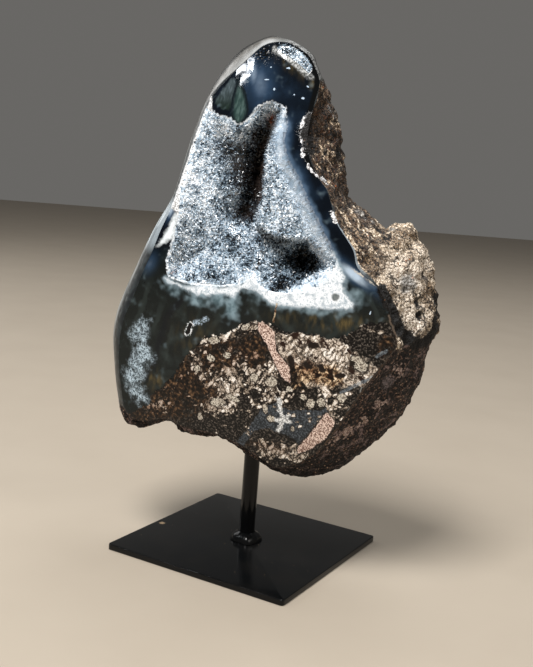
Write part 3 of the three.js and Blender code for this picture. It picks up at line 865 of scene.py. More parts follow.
def druse_values(outline, x, z, margin, depth):
    """What the crystals and their finish read from the crust."""
    upright = smooth(x, -6, 2) * smooth(z, 150, 165) * (1 - smooth(z, 211, 218))
    milk = upright * (1 - smooth(margin, 2.5, 8))
    bank = smooth(inside(BANK_OUTLINE, x, z), -0.5, 0.5)
    hole = smooth(inside(HOLE, x, z), -1.0, 1.4)
    # Painted shade from the patches and the deep hole, mostly held off the bank.
    shade = np.maximum(patches(PAINTED_SHADE_PATCHES, x, z), 0.8 * hole)
    least_frost = CROWN_FROST if outline is CROWN_MOUTH else 0
    return {
        "milk": milk,
        "margin": margin,
        "depth": depth,
        "tone": np.full(margin.shape, 0.3),
        "room": (0.35 + 0.65 * smooth(margin, 0, 3)) * (1 - 0.5 * milk),
        "frost": np.maximum(patches(FROST_PATCHES, x, z), least_frost),
        "shade": shade * (1 - 0.95 * bank),
        # A brown tint laid over the painted shade by the slot.
        "warm": shade * (1 - bank) * (1 - hole) * smooth(z, 150, 168),
        "orange": patches(ORANGE_PATCHES, x, z),
        "white": inside(WHITE_RIM, x, z),
    }


def make_crust(name, outline, pitch, depth_at):
    """Closed slab of quartz that lines an opening, ready for its crystals."""
    x, z = uneven_grid(outline, pitch)
    margin = inside(outline, x, z)
    depth = depth_at(x, z)
    back = face_y(x, z) + depth - GAP + EDGE_SINK * (1 - smooth(margin, 0, 2))
    front = back - np.minimum(CRUST_THICKNESS, 0.5 * np.maximum(margin, 0) + 0.1)
    middle = 0.25 * (margin[:-1, :-1] + margin[1:, :-1] + margin[:-1, 1:] + margin[1:, 1:])
    faces, fronts = slab_faces(middle > 0.3 * pitch)
    points = [np.stack([x, y, z], -1).reshape(-1, 3) for y in (front, back)]
    slab = new_piece(name, np.concatenate(points), faces, False)
    store(slab, "front", np.arange(len(faces)) < fronts, "FACE")
    for value_name, values in druse_values(outline, x, z, margin, depth).items():
        store(slab, value_name, np.tile(values.ravel(), 2))
    drop_loose(slab)
    return slab


def drop_loose(piece):
    """Deletes the points that no face uses."""
    mesh = bmesh.new()
    mesh.from_mesh(piece.data)
    loose = [point for point in mesh.verts if not point.link_faces]
    bmesh.ops.delete(mesh, geom=loose, context="VERTS")
    mesh.to_mesh(piece.data)
    mesh.free()


# Crystals

def crystal_point():
    """One six-sided quartz point, a unit across, with three of its faces larger than the rest."""
    angles = [math.radians(60 * k) for k in range(6)]
    reach = [0.5 if k % 2 else 0.4 for k in range(6)]
    foot = [(r * math.cos(a), r * math.sin(a), -0.35) for r, a in zip(reach, angles)]
    points = foot + [(0.06, 0.04, 0.62)]
    faces = [(k, (k + 1) % 6, 6) for k in range(6)] + [tuple(reversed(range(6)))]
    mesh = bpy.data.meshes.new("crystal")
    mesh.from_pydata(points, [], faces)
    return add_object("crystal", mesh)


class Graph:
    """Adds nodes to a tree and joins them."""

    def __init__(self, tree):
        self.tree = tree

    def node(self, kind, inputs=(), **settings):
        made = self.tree.nodes.new(kind)
        for name, value in settings.items():
            setattr(made, name, value)
        for key, value in dict(inputs).items():
            self.feed(made.inputs[key], value)
        return made

    def feed(self, socket, value):
        if isinstance(value, bpy.types.NodeSocket):
            self.tree.links.new(value, socket)
        else:
            socket.default_value = value

    def maths(self, operation, *values):
        return self.node("ShaderNodeMath", enumerate(values), operation=operation).outputs[0]

    def vector(self, operation, *values, output="Vector"):
        made = self.node("ShaderNodeVectorMath", enumerate(values), operation=operation)
        return made.outputs[output]

    def sum(self, a, b):
        return self.maths("ADD", a, b)

    def less(self, a, b):
        return self.maths("SUBTRACT", a, b)

    def times(self, a, b):
        return self.maths("MULTIPLY", a, b)


class CrystalGraph(Graph):
    """Nodes of the tree that grows the crystals."""

    def named(self, name):
        return self.node("GeometryNodeInputNamedAttribute", {"Name": name}).outputs[0]

    def random(self, low, high, seed):
        return self.node("FunctionNodeRandomValue", {2: low, 3: high, "Seed": seed}).outputs[1]

    def triple(self, x, y, z):
        return self.node("ShaderNodeCombineXYZ", enumerate((x, y, z))).outputs[0]

    def keep(self, geometry, name, value, domain):
        given = {"Geometry": geometry, "Name": name, "Value": value}
        return self.node("GeometryNodeStoreNamedAttribute", given, domain=domain,
                         data_type="FLOAT").outputs[0]


def crystal_tree():
    """Geometry nodes that stand crystals on the front faces of a crust."""
    tree = bpy.data.node_groups.new("crystals on a crust", "GeometryNodeTree")
    ports = tree.interface
    ports.new_socket("Geometry", in_out="OUTPUT", socket_type="NodeSocketGeometry")
    ports.new_socket("Geometry", in_out="INPUT", socket_type="NodeSocketGeometry")
    ports.new_socket("Crystal", in_out="INPUT", socket_type="NodeSocketObject")
    ports.new_socket("Finish", in_out="INPUT", socket_type="NodeSocketMaterial")
    for name in ("Spacing", "Size", "Lean"):
        ports.new_socket(name, in_out="INPUT", socket_type="NodeSocketFloat")
    graph = CrystalGraph(tree)
    given = graph.node("NodeGroupInput").outputs
    scatter = graph.node("GeometryNodeDistributePointsOnFaces", {
        "Mesh": given["Geometry"],
        "Selection": graph.named("front"),
        "Distance Min": given["Spacing"],
        "Density Max": DENSITY_LIMIT,
        "Seed": 3,
    }, distribute_method="POISSON").outputs
    lean = given["Lean"]
    back = graph.times(lean, -1)
    turns = graph.node("FunctionNodeRandomValue", {
        0: graph.triple(back, back, -math.pi),
        1: graph.triple(lean, lean, math.pi),
        "Seed": 5,
    }, data_type="FLOAT_VECTOR").outputs[0]
    turned = graph.node("FunctionNodeRotateRotation", {
        0: scatter["Rotation"], 1: turns}, rotation_space="LOCAL").outputs[0]
    girth = graph.random(0.6, 1.5, 7)
    width = graph.times(graph.times(girth, given["Size"]), graph.named("room"))
    height = graph.times(width, graph.random(0.75, 1.35, 9))
    stand = graph.node("GeometryNodeInstanceOnPoints", {
        "Points": scatter["Points"],
        "Instance": graph.node("GeometryNodeObjectInfo", {0: given["Crystal"]}).outputs["Geometry"],
        "Rotation": turned,
        "Scale": graph.triple(width, width, height),
    }).outputs[0]
    joined = graph.node("GeometryNodeJoinGeometry", {0: given["Geometry"]})
    graph.feed(joined.inputs[0], graph.keep(stand, "tone", graph.random(0.0, 1.0, 11), "INSTANCE"))
    real = graph.node("GeometryNodeRealizeInstances", {0: joined.outputs[0]}).outputs[0]
    glinting = graph.keep(real, "glint", graph.random(0.0, 1.0, 13), "FACE")
    finished = graph.node("GeometryNodeSetMaterial", {
        "Geometry": glinting, "Material": given["Finish"]}).outputs[0]
    graph.node("NodeGroupOutput", {0: finished})
    return tree


def grow_crystals(slab, tree, finish, **sizes):
    """Runs the crystal nodes on a crust and keeps the result as a plain mesh."""
    crystal = crystal_point()
    modifier = slab.modifiers.new("crystals", "NODES")
    modifier.node_group = tree
    given = {"Crystal": crystal, "Finish": finish, **sizes}
    for port in tree.interface.items_tree:
        if port.in_out == "INPUT" and port.name in given:
            modifier[port.identifier] = given[port.name]
    bpy.context.view_layer.update()
    grown = slab.evaluated_get(bpy.context.evaluated_depsgraph_get())
    mesh = bpy.data.meshes.new_from_object(grown)
    slab.modifiers.remove(modifier)
    slab.data = mesh
    bpy.data.objects.remove(crystal)
    return slab


# Stand

def turned_piece(name, profile, segments=64, swell=None):
    """Surface of revolution about the post, from a profile of (radius, z) that starts and ends
    on the axis or closes on itself. swell(angle, radius) widens it."""
    closed = profile[0][0] > 0
    points = []
    for radius, z in profile:
        for k in range(segments):
            angle = 2 * math.pi * k / segments
            wide = radius + (swell(angle, radius) if swell else 0)
            points.append((wide * math.cos(angle), wide * math.sin(angle), z))
    steps = len(profile) if closed else len(profile) - 1
    faces = []
    for step in range(steps):
        low, high = step * segments, (step + 1) % len(profile) * segments
        for k in range(segments):
            after = (k + 1) % segments
            faces.append((low + k, low + after, high + after, high + k))
    piece = new_piece(name, points, faces)
    mesh = bmesh.new()
    mesh.from_mesh(piece.data)
    bmesh.ops.remove_doubles(mesh, verts=mesh.verts, dist=LEVEL)
    bmesh.ops.recalc_face_normals(mesh, faces=mesh.faces)
    mesh.to_mesh(piece.data)
    mesh.free()
    piece.data.set_sharp_from_angle(angle=CREASE_ANGLE)
    return piece


def make_post():
    radius = POST_DIAMETER / 2
    foot = PLATE_THICKNESS + GAP
    profile = [(0, foot), (radius, foot), (radius, POST_TOP - POST_CHAMFER),
               (radius - POST_CHAMFER, POST_TOP), (0, POST_TOP)]
    return turned_piece("rod", profile)


def make_weld():
    """Bead of melted ripples round the foot of the post."""
    inner = POST_DIAMETER / 2 + GAP
    outer = WELD_WIDTH / 2 - WELD_SHRINK
    foot = PLATE_THICKNESS + GAP
    steps = 10
    profile = [(inner, foot), (outer, foot)]
    for k in range(1, steps):
        part = k / steps
        bulge = WELD_BULGE * math.sin(math.pi * part)
        profile.append((mix(outer, inner, part) + bulge, foot + WELD_HEIGHT * part + 0.4 * bulge))
    profile.append((inner, foot + WELD_HEIGHT))

    def swell(angle, radius):
        share = (radius - inner) / (outer - inner)
        ripple = math.sin(WELD_RIPPLES * angle + 2 * math.sin(3 * angle))
        ripple *= math.sin(math.pi * share)
        return share * (0.6 * math.sin(4 * angle + 1) + 0.2 * math.sin(7 * angle)) + 0.06 * ripple

    return turned_piece("bead", profile, 180, swell)


def height_of(edge):
    return abs(edge.verts[0].co.z - edge.verts[1].co.z)


def at_corner(edge):
    """Whether an edge lies between a level face and an upright one."""
    first, second = (face.normal.z for face in edge.link_faces)
    return abs(first - second) > 0.5


def round_edges(mesh, edges, radius, segments):
    bmesh.ops.bevel(mesh, geom=edges, offset=radius * MM, segments=segments, affect="EDGES",
                    profile=0.5)


def make_plate():
    mesh = bmesh.new()
    bmesh.ops.create_cube(mesh, size=1)
    for point in mesh.verts:
        x, y, z = point.co
        point.co = Vector((x * PLATE_SIDE, y * PLATE_SIDE, (z + 0.5) * PLATE_THICKNESS)) * MM
    upright = [edge for edge in mesh.edges if height_of(edge) > MM]
    round_edges(mesh, upright, PLATE_CORNER_RADIUS, 6)
    level = [edge for edge in mesh.edges if height_of(edge) < LEVEL and at_corner(edge)]
    round_edges(mesh, level, PLATE_EDGE_BREAK, 3)
    bmesh.ops.rotate(mesh, verts=mesh.verts, matrix=Matrix.Rotation(PLATE_TURN, 3, "Z"))
    data = bpy.data.meshes.new("plate")
    mesh.to_mesh(data)
    mesh.free()
    data.shade_smooth()
    data.set_sharp_from_angle(angle=CREASE_ANGLE)
    return add_object("plate", data)


# Finishes

def tint(red, green, blue):
    """A screen colour in steps of 0 to 255, as the shader's linear values."""
    return tuple(((c / 255 + 0.055) / 1.055) ** 2.4 if c > 10 else c / 3295
                 for c in (red, green, blue)) + (1.0,)


BLACK = tint(8, 9, 10)
SEA_BLUE = tint(58, 85, 116)
GREEN_BLACK = tint(18, 26, 25)
GREY_GREEN = tint(62, 72, 70)
LEAF_GREEN = tint(68, 86, 83)
PALE_BLUE = tint(176, 194, 212)
WHITE = tint(240, 242, 244)
OLIVE = tint(54, 49, 34)
BASALT = tint(24, 18, 15)
BASALT_BROWN = tint(70, 50, 36)
RUST_BROWN = tint(88, 54, 32)
UMBER = tint(92, 64, 44)
ASH = tint(150, 150, 150)
LILAC_SHEEN = tint(136, 126, 128)


class Finish(Graph):
    """Node tree of one material. Sizes given to it are in millimetres."""

    def __init__(self, name):
        self.material = bpy.data.materials.new(name)
        self.material.use_nodes = True
        super().__init__(self.material.node_tree)
        self.shader = self.tree.nodes["Principled BSDF"]
        self.place = self.node("ShaderNodeTexCoord").outputs["Object"]

    def most(self, a, b):
        return self.maths("MAXIMUM", a, b)

    def least(self, a, b):
        return self.maths("MINIMUM", a, b)

    def nudged(self, value, noise, amount):
        """A value moved up and down by noise, which runs from 0 to 1."""
        return self.sum(value, self.times(self.sum(noise, -0.5), amount))

    def fade(self, value, low, high, start=0.0, end=1.0):
        """From start to end, smoothly, while the value runs from low to high."""
        return self.node("ShaderNodeMapRange", {
            "Value": value, "From Min": low, "From Max": high, "To Min": start, "To Max": end,
        }, interpolation_type="SMOOTHSTEP").outputs["Result"]

    def ramp(self, value, stops):
        """Colour that runs through the stops, each a place from 0 to 1 and a colour."""
        ramp = self.node("ShaderNodeValToRGB", {0: value})
        elements = ramp.color_ramp.elements
        while len(elements) < len(stops):
            elements.new(0.5)
        for element, (place, colour) in zip(elements, stops):
            element.position = place
            element.color = colour
        return ramp.outputs[0]

    def along(self, axis):
        """How far along an axis, in millimetres."""
        return self.times(self.node("ShaderNodeSeparateXYZ", {0: self.place}).outputs[axis], 1 / MM)

    def grain(self, size, detail=2.0, place=None, channel="Fac"):
        return self.node("ShaderNodeTexNoise", {
            "Vector": place or self.place, "Scale": 1 / (size * MM), "Detail": detail,
        }).outputs[channel]

    def cloud(self, size, detail, low, high, start=0.0, end=1.0):
        """Noise faded between two of its levels: how much of a second colour shows."""
        return self.fade(self.grain(size, detail), low, high, start, end)

    def cells(self, size, output="Distance", place=None, feature="F1"):
        return self.node("ShaderNodeTexVoronoi", {
            "Vector": place or self.place, "Scale": 1 / (size * MM),
        }, feature=feature).outputs[output]

    def channels(self, colour):
        return self.node("ShaderNodeSeparateColor", {0: colour}).outputs

    def specks(self, size, reach, share):
        """Round specks, one in some of the cells of a size in millimetres."""
        kind = self.channels(self.cells(size, "Color"))[0]
        here = self.fade(self.cells(size), reach, 0.5 * reach)
        return self.times(here, self.fade(kind, 1 - share, 1.02 - share))

    def stored(self, name):
        return self.node("ShaderNodeAttribute", attribute_name=name).outputs["Fac"]

    def zone(self, name, soft, ragged=0.0, size=2.0):
        """Share of a zone, from its stored distance, with an edge that wanders."""
        reach = self.stored(name)
        if ragged:
            reach = self.nudged(reach, self.grain(size, 4.0), 2 * ragged)
        return self.fade(reach, -soft, soft)

    def blend(self, share, a, b, way="MIX"):
        return self.node("ShaderNodeMix", {0: share, 6: a, 7: b}, data_type="RGBA",
                         blend_type=way).outputs[2]

    def wander(self, size, amount):
        """The place moved about by noise, so that marks get natural edges."""
        drift = self.grain(size, channel="Color")
        centred = self.vector("SUBTRACT", drift, (0.5, 0.5, 0.5))
        return self.vector("MULTIPLY_ADD", centred, (2 * amount * MM,) * 3, self.place)

    def stretched(self, x, y, z):
        """The place, with a pattern on it drawn out along an axis whose factor is small."""
        return self.vector("MULTIPLY", self.place, (x, y, z))

    def shifted(self, place, distance):
        """The place moved by a distance in millimetres, for another draw of the same pattern."""
        return self.vector("ADD", place, (distance * MM,) * 3)

    def drawn_out(self, place, turn, stretch):
        """The place, with a pattern on it drawn out along a direction in the face."""
        return self.node("ShaderNodeMapping", {
            "Vector": place,
            "Rotation": (0, -math.radians(turn), 0),
            "Scale": (stretch, 1, 1 / stretch),
        }, vector_type="TEXTURE").outputs[0]

    def flat(self, place):
        """The place pressed flat along the depth of the stone."""
        return self.vector("MULTIPLY", place, (1, 0, 1))

    def from_spot(self, spot, place):
        away = self.vector("DISTANCE", place, tuple(c * MM for c in spot), output="Value")
        return self.times(away, 1 / MM)

    def from_line(self, line, place):
        """Distance in millimetres from a straight mark in the face."""
        (ax, az), (bx, bz) = line
        run = (bx - ax, 0, bz - az)
        length = run[0] ** 2 + run[2] ** 2
        start = self.vector("SUBTRACT", place, (ax * MM, 0, az * MM))
        share = tuple(c / length / MM for c in run)
        along = self.vector("DOT_PRODUCT", start, share, output="Value")
        held = self.node("ShaderNodeClamp", {"Value": along}).outputs[0]
        foot = self.node("ShaderNodeVectorMath", {
            0: tuple(c * MM for c in run), "Scale": held}, operation="SCALE").outputs[0]
        return self.times(self.vector("DISTANCE", start, foot, output="Value"), 1 / MM)

    def from_oval(self, oval, place):
        """Distance from the middle of an oval in the face, 1 on its edge."""
        x, z, half_width, half_height, turn = oval
        scaled = self.node("ShaderNodeMapping", {
            "Vector": place,
            "Location": (x * MM, 0, z * MM),
            "Rotation": (0, -math.radians(turn), 0),
            "Scale": (half_width * MM, 1, half_height * MM),
        }, vector_type="TEXTURE").outputs[0]
        return self.vector("LENGTH", scaled, output="Value")

    def nearest(self, measure, marks, place):
        """Distance from the nearest of many marks."""
        distance = measure(marks[0], place)
        for mark in marks[1:]:
            distance = self.least(distance, measure(mark, place))
        return distance

    def from_paths(self, paths, place):
        steps = [step for path in paths for step in zip(path, path[1:])]
        return self.nearest(self.from_line, steps, place)

    def bump(self, height, depth, below=None):
        """Normal of a relief of the given depth, laid over an earlier one."""
        node = self.node("ShaderNodeBump", {"Height": height, "Strength": 1.0, "Distance": depth * MM})
        if below:
            self.feed(node.inputs["Normal"], below)
        return node.outputs[0]

    def finish(self, colour, roughness, normal=None, **fixed):
        self.feed(self.shader.inputs["Base Color"], colour)
        self.feed(self.shader.inputs["Roughness"], roughness)
        if normal:
            self.feed(self.shader.inputs["Normal"], normal)
        for name, value in fixed.items():
            self.shader.inputs[name.replace("_", " ")].default_value = value
        return self.material


def speckle(f, size, dark, light):
    return f.blend(f.cloud(size, 3.0, 0.42, 0.58), dark, light)


def cap_colour(f, colour, flat):
    """Leaf-shaped clear lobe, pitted top and pale specks of the cap."""
    fibres = f.grain(1.2, 4.0, f.stretched(1, 1, 0.25))
    side = f.blend(f.fade(f.along("Z"), 217, 229), tint(26, 38, 32), tint(84, 96, 102))
    side = f.blend(f.fade(fibres, 0.35, 0.6, 0.0, 0.6), side, GREEN_BLACK)
    colour = f.blend(f.zone("leaf side", 0.6, 1.0), colour, side)
    leaf = f.blend(f.fade(fibres, 0.3, 0.65), LEAF_GREEN, tint(36, 54, 52))
    shape = f.nudged(f.stored("leaf"), f.grain(2.4, 3.0), 0.8)
    colour = f.blend(f.fade(shape, -1.0, -0.2), colour, tint(14, 22, 26))
    colour = f.blend(f.fade(shape, 0.0, 2.0), colour, leaf)
    pits = f.times(f.stored("pits"), f.cloud(0.8, 3.0, 0.4, 0.5))
    marks = f.blend(f.fade(f.cells(1.1), 0.3, 0.2), BLACK, ASH)
    colour = f.blend(pits, colour, marks)
    colour = f.blend(f.fade(f.nearest(f.from_oval, SPECKS, flat), 1.1, 0.6), colour, PALE_BLUE)
    edge = f.fade(f.from_paths(CROWN_EDGE, flat), 2.2, 0.2, 0.0, 1.0)
    edge = f.times(edge, f.cloud(3, 3.0, 0.35, 0.6, 0.25, 0.9))
    return f.blend(edge, colour, speckle(f, 1.2, tint(104, 106, 104), tint(196, 198, 198)))


def dark_agate(f):
    """Polished chalcedony: green black below, blue black above, with soft bands, an olive tinge
    and milk-blue places, some of them painted reflection: a highlight and a sheen."""
    upper = f.fade(f.along("Z"), 134, 160)
    cloud = f.cloud(8, 4.0, 0.45, 0.75)
    deep = f.blend(f.times(cloud, 0.3), tint(14, 20, 20), GREY_GREEN)
    blue = f.blend(f.times(cloud, 0.08), tint(6, 11, 18), SEA_BLUE)
    colour = f.blend(upper, deep, blue)
    lines = f.sum(f.times(f.stored("rim"), 0.7), f.times(f.grain(14, 3.0), 7.0))
    band = f.fade(f.maths("SINE", lines), 0.3, 1.0)
    shown = f.times(f.cloud(18, 2.0, 0.4, 0.6), f.fade(upper, 0.0, 1.0, 0.2, 0.0))
    colour = f.blend(f.times(band, shown), colour, GREY_GREEN)
    curve = f.fade(f.from_paths(DARK_CURVE, f.flat(f.wander(6, 1.6))), 3.0, 0.4, 0.0, 0.85)
    colour = f.blend(curve, colour, tint(8, 13, 18))
    drops = f.grain(3.4, 3.0, f.stretched(1.3, 1, 0.5))
    ochre = f.blend(f.fade(drops, 0.48, 0.72), OLIVE, tint(94, 80, 48))
    colour = f.blend(f.times(f.stored("olive"), f.fade(drops, 0.34, 0.58)), colour, ochre)
    # Milky agate, and in places a painted highlight and sheen.
    milky_and_sheen = f.times(f.stored("milky_and_sheen"), f.cloud(5, 3.0, 0.25, 0.65, 0.65, 1.0))
    mist = f.blend(f.fade(f.stored("milky_and_sheen"), 0.3, 0.9), SEA_BLUE, PALE_BLUE)
    return f.blend(milky_and_sheen, colour, mist)


def fringe_colour(f, colour):
    """Translucent lobes under the white rim, the milk-blue edge beside the bank and the black edge
    below the cap."""
    lobes = f.nudged(f.stored("fringe"), f.grain(4, 1.0), 1.2)
    teal = f.blend(f.cloud(4, 2.0, 0.35, 0.65), tint(84, 106, 114), tint(132, 154, 164))
    colour = f.blend(f.fade(lobes, 0.1, 1.0, 0.0, 0.85), colour, teal)
    milk = f.nudged(f.stored("mouth"), f.grain(6, 3.0), 4.0)
    milk = f.times(f.fade(milk, -3.4, 0.0), f.stored("bank side"))
    colour = f.blend(f.fade(milk, 0.0, 1.0, 0.0, 0.95), colour, tint(70, 90, 112))
    gap = f.times(f.fade(f.stored("rim"), 2.8, 1.6), f.fade(f.along("Z"), 187, 191))
    return f.blend(f.times(gap, f.fade(f.along("X"), 8, 11)), colour, BLACK)


def white_quartz(f, colour, flat):
    """White rim of the hollow with its halo and green spot, and the white wedge at the left."""
    crumbs = f.blend(f.cloud(0.7, 3.0, 0.28, 0.5), tint(160, 177, 190), tint(236, 241, 246))
    crumbs = f.blend(f.cloud(2.6, 4.0, 0.47, 0.67, 0.0, 0.68), crumbs, tint(152, 168, 180))
    halo = f.nudged(f.stored("white"), f.grain(3.5, 3.0), 4.0)
    colour = f.blend(f.fade(halo, -2.4, 0.6, 0.0, 0.7), colour, tint(150, 170, 182))
    colour = f.blend(f.zone("white", 0.9, 2.2, 2.6), colour, crumbs)
    green = f.from_spot(GREEN_SPOT, flat)
    colour = f.blend(f.fade(green, 2.3, 1.2, 0.0, 0.85), colour, GREY_GREEN)
    edge = f.nudged(f.stored("mouth"), f.grain(1.3, 3.0), 3.0)
    edge = f.times(f.fade(edge, -0.9, 0.1), f.fade(f.stored("bank side"), 0.0, 0.8, 1.0, 0.2))
    colour = f.blend(edge, colour, crumbs)
    return f.blend(f.zone("wedge", 1.1, 1.4), colour, tint(222, 230, 234))


def lower_marks(f, colour, flat):
    """Frosty streak at the left, the eye with its wisps and painted shade, and the crack below the
    rim.
    """
    frosty = f.blend(f.cloud(0.8, 3.0, 0.36, 0.6), tint(56, 68, 74), tint(184, 202, 214))
    streak = f.times(f.zone("streak", 2.6, 3.4, 3.0), f.cloud(3.0, 3.0, 0.34, 0.6, 0.2, 0.95))
    colour = f.blend(streak, colour, frosty)
    wisp = f.fade(f.from_paths(EYE_STREAK, flat), 1.7, 0.5, 0.0, 0.8)
    colour = f.blend(wisp, colour, speckle(f, 0.7, GREY_GREEN, PALE_BLUE))
    eye = f.from_paths(EYES, f.flat(f.wander(1.1, 0.9)))
    colour = f.blend(f.fade(eye, 1.9, 1.2), colour, speckle(f, 0.8, GREY_GREEN, WHITE))
    # Painted shade: the black middle of the eye's small hole.
    colour = f.blend(f.fade(eye, 1.1, 0.8), colour, BLACK)
    crack = f.fade(f.from_paths(CRACKS, flat), 0.5, 0.2, 0.0, 0.8)
    return f.blend(crack, colour, speckle(f, 1.4, RUST_BROWN, tint(190, 170, 140)))


def agate_colour(f, flat):
    colour = cap_colour(f, dark_agate(f), flat)
    colour = white_quartz(f, fringe_colour(f, colour), flat)
    return lower_marks(f, colour, flat)


def pieces(f, colour, size, crowd, place, shift, turn, stretch):
    """Pale crystals set in the rock, each with its own tone, a dark skin and painted shade towards
    its edges. They are drawn out along a turned direction."""
    field = f.drawn_out(f.shifted(place, shift), turn, stretch)
    near = f.cells(size, "Distance", field)
    beyond = f.cells(size, "Distance", field, "F2")
    kind = f.channels(f.cells(size, "Color", field))
    edge = f.times(f.less(beyond, near), 0.5)
    reach = f.less(0.85, f.times(kind[1], 0.35))
    depth = f.least(f.less(reach, near), edge)
    depth = f.nudged(depth, f.grain(0.9, 4.0), 0.35)
    here = f.fade(f.sum(crowd, kind[0]), 1.0, 1.04)
    # Painted shade: each crystal darker near its edge and lighter in its middle, as if rounded.
    tone = f.sum(f.fade(depth, 0.0, 0.3, 0.1, 0.6), f.times(kind[2], 0.35))
    tone = f.nudged(tone, f.grain(0.5, 3.0), 1.5)
    shade = f.ramp(tone, [
        (0.05, tint(40, 32, 27)), (0.3, tint(120, 106, 92)), (0.55, tint(190, 176, 160)),
        (0.85, tint(244, 238, 230))])
    brown = f.blend(tone, tint(22, 12, 8), tint(150, 106, 74))
    shade = f.blend(f.fade(f.stored("rust"), 0.2, 0.9, 0.0, 0.8), shade, brown)
    colour = f.blend(f.times(here, f.fade(depth, -0.12, 0.0, 0.0, 0.9)), colour, BASALT)
    return f.blend(f.times(here, f.fade(depth, 0.0, 0.07)), colour, shade)


def crackled(f, shade):
    """A pale crystal crossed by dark hairlines and grains."""
    grains = f.cloud(0.6, 3.0, 0.36, 0.6, 0.1, 1.0)
    shade = f.blend(f.cloud(3, 3.0, 0.4, 0.7, 0.0, 0.4), shade, tint(120, 100, 84))
    return f.blend(grains, tint(52, 38, 30), shade)


def matrix_ground(f):
    """Cut basalt, rusty at the left, with a field of slate."""
    colour = f.blend(f.cloud(0.9, 4.0, 0.48, 0.72), tint(10, 8, 7), tint(96, 88, 80))
    rust = f.times(f.fade(f.stored("rust"), 0.15, 0.6), f.cloud(3.6, 4.0, 0.34, 0.5))
    brown = f.ramp(f.grain(1.5, 4.0), [
        (0.42, tint(10, 7, 5)), (0.56, tint(42, 29, 20)), (0.72, tint(116, 88, 62))])
    colour = f.blend(rust, colour, brown)
    slate = f.blend(f.cloud(0.8, 5.0, 0.4, 0.72), tint(33, 37, 41), tint(88, 94, 100))
    return f.blend(f.zone("slate", 0.3, 1.0), colour, slate)


def pale_crystals(f, colour, ragged):
    """The dense mass of pale crystals with its golden lower edge, and those scattered round it."""
    packed = f.zone("cluster", 0.6, 3.0, 3.0)
    mass = f.blend(f.cloud(0.8, 4.0, 0.36, 0.6), tint(88, 72, 60), tint(218, 204, 188))
    colour = f.blend(packed, colour, mass)
    crowd = f.most(f.stored("cream"), f.times(packed, 0.75))
    crowd = f.nudged(crowd, f.grain(8, 3.0), 1.4)
    crowd = f.sum(crowd, f.times(f.stored("rust"), -0.16))
    colour = pieces(f, colour, 1.8, f.sum(crowd, f.times(packed, -0.5)), ragged, 0, 30, 1.2)
    colour = pieces(f, colour, 4.4, f.sum(crowd, -0.1), ragged, 11, -50, 1.35)
    colour = pieces(f, colour, 3.4, f.sum(crowd, -0.2), ragged, 23, 60, 1.8)
    between = f.fade(f.grain(4.6, 4.0, f.drawn_out(ragged, -35, 1.3)), 0.45, 0.39)
    colour = f.blend(f.times(packed, between), colour, tint(36, 21, 15))
    golden = speckle(f, 1.5, tint(132, 104, 80), tint(255, 236, 208))
    return f.blend(f.zone("gold", 1.6, 2.4), colour, golden, "MULTIPLY")


def single_marks(f, colour, flat):
    """Single crystals, holes with painted shade, the two blades of feldspar, the star and the veins.
    """
    rough = f.flat(f.wander(1.3, 1.0))
    oval = f.nearest(f.from_oval, OVALS, rough)
    colour = f.blend(f.fade(oval, 1.25, 1.05, 0.0, 0.9), colour, BASALT)
    colour = f.blend(f.fade(oval, 1.0, 0.85), colour, crackled(f, tint(210, 202, 186)))
    holes = f.nearest(f.from_oval, SHADED_HOLE_OVALS, rough)
    # Painted shade in the holes between the crystals.
    colour = f.blend(f.fade(holes, 1.15, 0.8), colour, tint(26, 18, 14))
    spar = f.nudged(f.stored("spar"), f.grain(1.6, 3.0), 1.8)
    colour = f.blend(f.fade(spar, -0.9, -0.3, 0.0, 0.8), colour, BASALT)
    pink = speckle(f, 0.6, tint(112, 84, 72), tint(228, 204, 190))
    colour = f.blend(f.fade(spar, -0.3, 0.3), colour, pink)
    star = f.fade(f.from_paths(STAR_ARMS, rough), 1.35, 0.6, 0.0, 0.95)
    colour = f.blend(star, colour, speckle(f, 0.7, tint(140, 140, 138), tint(236, 236, 234)))
    vein = f.fade(f.from_paths(BLUE_VEINS, flat), 1.0, 0.4, 0.0, 0.7)
    colour = f.blend(vein, colour, speckle(f, 1.0, tint(66, 72, 78), tint(122, 130, 136)))
    thin = f.fade(f.from_paths(THIN_VEINS, flat), 0.4, 0.15, 0.0, 0.6)
    return f.blend(thin, colour, tint(140, 140, 136))


def matrix_colour(f, ragged, flat):
    return single_marks(f, pale_crystals(f, matrix_ground(f), ragged), flat)


def pale_sand(f):
    """Beige grains of the shoulder."""
    streaks = f.grain(0.75, 3.0, f.drawn_out(f.place, -50, 1.25))
    sand = f.ramp(streaks, [
        (0.34, tint(30, 22, 17)), (0.45, tint(136, 113, 88)), (0.54, tint(212, 193, 167)),
        (0.66, tint(250, 240, 223))])
    sand = f.blend(f.times(f.stored("pale"), 0.75), sand, f.blend(
        f.cloud(0.9, 4.0, 0.36, 0.56), tint(120, 100, 84), tint(244, 234, 220)))
    broad = f.fade(f.sum(f.grain(8, 5.0), f.times(f.stored("pale"), -0.16)), 0.45, 0.58, 0.0, 0.85)
    return f.blend(broad, sand, speckle(f, 0.9, tint(26, 18, 13), tint(142, 118, 92)))


def brown_sand(f):
    """Brown and black grains of the upper rind, with tan patches."""
    brown = speckle(f, 1.3, tint(9, 6, 4), tint(100, 66, 44))
    tan = f.sum(f.grain(6, 5.0), f.times(f.stored("pale"), 0.2))
    tan = f.fade(tan, 0.5, 0.56, 0.0, 0.95)
    brown = f.blend(tan, brown, speckle(f, 0.8, tint(92, 74, 56), tint(224, 202, 174)))
    return f.blend(f.cloud(3.4, 5.0, 0.46, 0.41), brown, tint(14, 10, 8))


